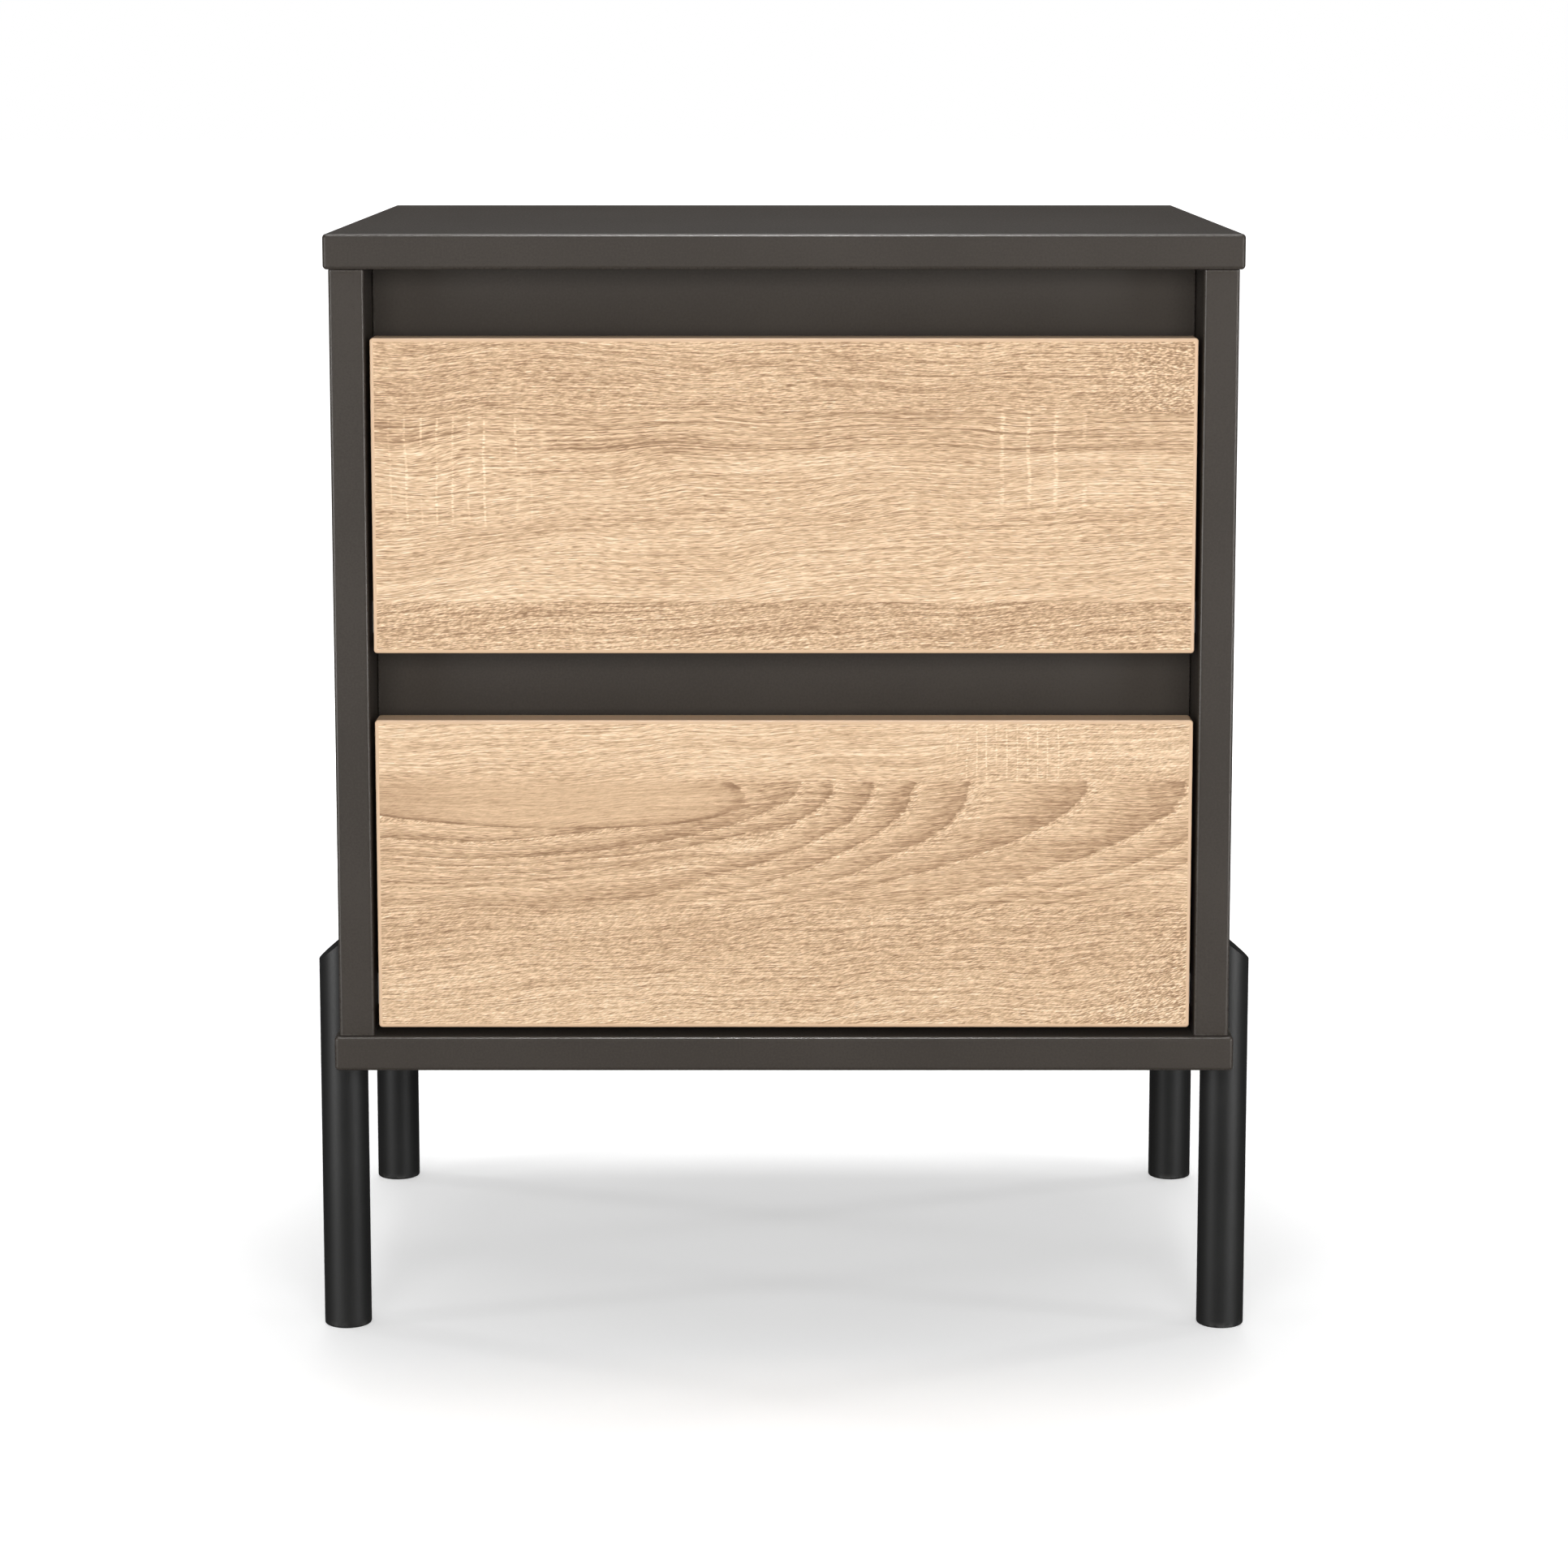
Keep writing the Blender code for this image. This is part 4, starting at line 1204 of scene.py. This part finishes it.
def bent_section(corners, radius):
    """The outline of a strip whose middle line runs through corners with round bends."""
    line = [Vector(corners[0])]
    for before, corner, after in zip(corners, corners[1:], corners[2:]):
        corner = Vector(corner)
        towards = (Vector(before) - corner).normalized()
        away = (Vector(after) - corner).normalized()
        centre = corner + (towards + away) * radius
        start, end = -away * radius, -towards * radius
        for step in range(BEND_STEPS + 1):
            angle = math.pi / 2 * step / BEND_STEPS
            line.append(centre + start * math.cos(angle) + end * math.sin(angle))
    line.append(Vector(corners[-1]))
    outer, inner = [], []
    for number, point in enumerate(line):
        ahead = line[min(number + 1, len(line) - 1)] - line[max(number - 1, 0)]
        sideways = Vector((-ahead.y, ahead.x)).normalized() * STEEL / 2
        outer.append(point + sideways)
        inner.append(point - sideways)
    return outer + inner[::-1]


def strip_work(corners, low_y, high_y, radius=0.0016):
    """A bent strip of steel running from low_y to high_y."""
    work = bmesh.new()
    outline = bent_section(corners, radius)
    extrude(work, [(point.x, low_y, point.y) for point in outline], (0, high_y - low_y, 0))
    bmesh.ops.triangulate(work, faces=[face for face in work.faces if len(face.verts) > 4])
    return work


print("sheet thickness:", STEEL, "m")

# %% Slots and studs
CUTTER_REACH = 0.004
STUD_RADII = (0.0022, 0.0037)


def slot_work(centre, axis, length, radius):
    """A slotted hole: a round-ended cutter lying across a sheet."""
    turn = Vector((0, 0, 1)).rotation_difference(Vector(axis)).to_matrix().to_4x4()
    work = bmesh.new()
    points = []
    for side, start in ((1, -math.pi / 2), (-1, math.pi / 2)):
        for step in range(9):
            angle = start + math.pi * step / 8
            points.append((radius * math.cos(angle) + side * length / 2,
                           radius * math.sin(angle), -CUTTER_REACH))
    extrude(work, points, (0, 0, 2 * CUTTER_REACH))
    quarter = Matrix.Rotation(math.pi / 2, 4, "Z")
    bmesh.ops.transform(work, matrix=Matrix.Translation(centre) @ turn @ quarter, verts=work.verts)
    return work


def stud_work(start, axis, length):
    """A riveted stud with a domed head."""
    shank, head = STUD_RADII
    profile = [(0, -STEEL / 2), (shank, -STEEL / 2), (shank, length - 0.0010),
               (head, length - 0.0010), (head, length - 0.0006), (head * 0.85, length - 0.0002),
               (head * 0.5, length), (0, length)]
    return turned_work(profile, start, axis, HOLE_SEGMENTS)


print("radii of a stud and its head:", STUD_RADII)

# %% [markdown]
# ### Runner screws
# Small countersunk screws with a cross slot hold each runner. A row of them is made as one
# piece, because the screws of one runner never move apart.

# %% Runner screws
SLOT_HALF = (0.0015, 0.0003, 0.0007)


def add_screws(runner, heads, axis):
    """The small countersunk screws of one runner, as one piece."""
    whole = bmesh.new()
    for place in heads:
        profile = [(0, 0.0003), (0.0021, 0.0002), (0.0026, 0.0), (0.0026, -0.0004),
                   (0.0013, -0.0016), (0.0013, -0.0090), (0, -0.0110)]
        one = new_piece("screw", turned_work(profile, place, axis, 24), zinc)
        axis_vector = Vector(axis)
        across = axis_vector.orthogonal().normalized()
        cuts = []
        for along in (across, axis_vector.cross(across)):
            spans = zip((along, axis_vector.cross(along), axis_vector), SLOT_HALF)
            half = sum((Vector(map(abs, line)) * reach for line, reach in spans), Vector())
            middle = Vector(place) + axis_vector * 0.0003
            cuts.append(box_work(middle - half, middle + half))
        finish_shape(one, cuts)
        whole.from_mesh(one.data)
        bpy.data.objects.remove(one, do_unlink=True)
    piece = new_piece(f"{runner}_screws", whole, zinc)
    piece.data.shade_smooth()
    piece.data.set_sharp_from_angle(angle=SMOOTH_ANGLE)
    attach(piece, NODE_BODY[runner])


print("cross slot, half sizes:", SLOT_HALF)

# %% [markdown]
# ### Fixed runners
# A fixed runner is a channel open towards the drawer. Its front is cut away above the
# roller, so that the drawer can be lifted in.

# %% Fixed runners
CABINET_STUD = 0.0093
CHANNEL_HEIGHT, CHANNEL_DEPTH = 0.0192, 0.0101
FIXED_SCREWS = (0.045, 0.180, 0.320)
FIXED_SLOTS = (0.080, 0.150, 0.250, 0.290)
SCREW_HOLE, SLOT_LENGTH = 0.0029, 0.0060
ROLLER_CUT_Y = 0.0275


def make_cabinet_runner(drawer, side, sign):
    """The channel on the side panel, with its stud, slots and screws."""
    node = f"{drawer}_{side}_cabinet_runner"
    low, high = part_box(node)
    roller, _ = middle_and_half(f"{drawer}_{side}_cabinet_roller")
    outer = high.x if sign > 0 else low.x
    web = outer - sign * STEEL / 2
    inner = outer - sign * CHANNEL_DEPTH
    top = low.z + CHANNEL_HEIGHT
    corners = [(inner, low.z + STEEL / 2), (web, low.z + STEEL / 2), (web, top - STEEL / 2),
               (inner, top - STEEL / 2)]
    piece = new_piece(f"{node}_pressing", strip_work(corners, low.y, high.y), coated)
    web_face = outer - sign * STEEL
    middle_z = (low.z + top) / 2
    cut_low, cut_high = sorted((inner - sign * 0.002, web_face))
    cuts = [box_work((cut_low, low.y - 0.01, middle_z),
                     (cut_high, low.y + ROLLER_CUT_Y, top + 0.01))]
    heads = []
    for distance in FIXED_SCREWS:
        place = Vector((web, low.y + distance, middle_z))
        cuts.append(slot_work(place, (1, 0, 0), 0.0, SCREW_HOLE))
        heads.append(Vector((web_face + sign * 0.0004, place.y, place.z)))
    for distance in FIXED_SLOTS:
        place = Vector((web, low.y + distance, middle_z))
        cuts.append(slot_work(place, (1, 0, 0), SLOT_LENGTH, 0.0020))
    stud = stud_work((web_face, roller.y, roller.z), (-sign, 0, 0), CABINET_STUD)
    finish_shape(piece, cuts, [stud])
    stand_in(piece, node)
    add_screws(node, heads, (-sign, 0, 0))


print("fixed runner:", CHANNEL_HEIGHT, "high and", CHANNEL_DEPTH, "deep")


# %% [markdown]
# ### Moving runners
# A moving runner is an angle: its lip lies under the drawer side, its upright stands
# beside it, and a flange at the top runs on the fixed roller.

# %% Moving runners
DRAWER_STUD = 0.0092
MOVING_SCREWS = (0.030, 0.175, 0.320)
MOVING_SLOTS = (0.100, 0.250)
LIP_MIDDLE = 0.0045


def make_drawer_runner(drawer, side, sign):
    """The angle under the drawer side, with its stud, holes and screws."""
    node = f"{drawer}_{side}_drawer_runner"
    low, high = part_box(node)
    box_low, box_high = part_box(f"{drawer}_drawer_{side}_side")
    roller, _ = middle_and_half(f"{drawer}_{side}_drawer_roller")
    lip_tip = low.x if sign > 0 else high.x
    box_face = (box_high.x if sign > 0 else box_low.x) + sign * GAP
    upright = box_face + sign * STEEL / 2
    flange_tip = sign * (abs(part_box(f"{side}_side_panel")[0 if sign > 0 else 1].x) - 0.003)
    corners = [(lip_tip, low.z + STEEL / 2), (upright, low.z + STEEL / 2),
               (upright, high.z - STEEL / 2), (flange_tip, high.z - STEEL / 2)]
    piece = new_piece(f"{node}_pressing", strip_work(corners, low.y, high.y, 0.0012), coated)
    cuts = []
    heads = []
    lip_x = sign * (abs(lip_tip) + LIP_MIDDLE)
    for distance in MOVING_SCREWS:
        place = Vector((lip_x, low.y + distance, low.z + STEEL / 2))
        cuts.append(slot_work(place, (0, 0, 1), 0.0, SCREW_HOLE))
        heads.append(Vector((place.x, place.y, low.z + 0.0003)))
    for distance in MOVING_SLOTS:
        place = Vector((lip_x, low.y + distance, low.z + STEEL / 2))
        cuts.append(slot_work(place, (0, 0, 1), SLOT_LENGTH, 0.0018))
    stud = stud_work((upright + sign * STEEL / 2, roller.y, roller.z), (sign, 0, 0), DRAWER_STUD)
    finish_shape(piece, cuts, [stud])
    stand_in(piece, node)
    add_screws(node, heads, (0, 0, -1))


print("moving runner screws from the front:", MOVING_SCREWS)


# %% [markdown]
# ### Rollers
# A roller is moulded in nylon, with a hub, a thin web with dimples and a tread that is a
# little crowned. It is turned as one ring-shaped profile.

# %% Rollers
BORE, CROWN = 0.0025, 0.00030
ROLLER_SEGMENTS = 56


def make_roller(node):
    """A moulded nylon wheel: a crowned tread, a web and a hub."""
    middle, half = middle_and_half(node)
    radius, wide, bore = half.z, half.x, BORE
    profile = [(bore, -wide), (0.0042, -wide), (0.0044, 0.0008 - wide), (0.0060, 0.0008 - wide),
               (0.0062, -wide), (radius - 0.0007, -wide), (radius - 0.0002, 0.0005 - wide)]
    for step in range(-2, 3):
        profile.append((radius - CROWN * (step / 2) ** 2 * 0.3, step * 0.0010))
    profile += [(radius - 0.0002, wide - 0.0005), (radius - 0.0007, wide), (0.0062, wide),
                (0.0060, wide - 0.0008), (0.0044, wide - 0.0008), (0.0042, wide), (bore, wide)]
    piece = new_piece(f"{node}_moulding",
                      turned_work(profile, middle, (1, 0, 0), ROLLER_SEGMENTS,
                                  closed=True), nylon)
    dimples = []
    for number in range(6):
        turn = Matrix.Translation(middle) @ Matrix.Rotation(math.pi * number / 3, 4, "X")
        for face in (-1, 1):
            dimple = turned_work([(0, -0.0005), (0.0006, -0.0005), (0.0006, 0.0005), (0, 0.0005)],
                                 (face * (wide - 0.0008), 0, 0.0052), (1, 0, 0), 12)
            bmesh.ops.transform(dimple, matrix=turn, verts=dimple.verts)
            dimples.append(dimple)
    finish_shape(piece, dimples)
    stand_in(piece, node)


for drawer in DRAWERS:
    for side, sign in SIDES:
        make_cabinet_runner(drawer, side, sign)
        make_drawer_runner(drawer, side, sign)
        make_roller(f"{drawer}_{side}_cabinet_roller")
        make_roller(f"{drawer}_{side}_drawer_roller")
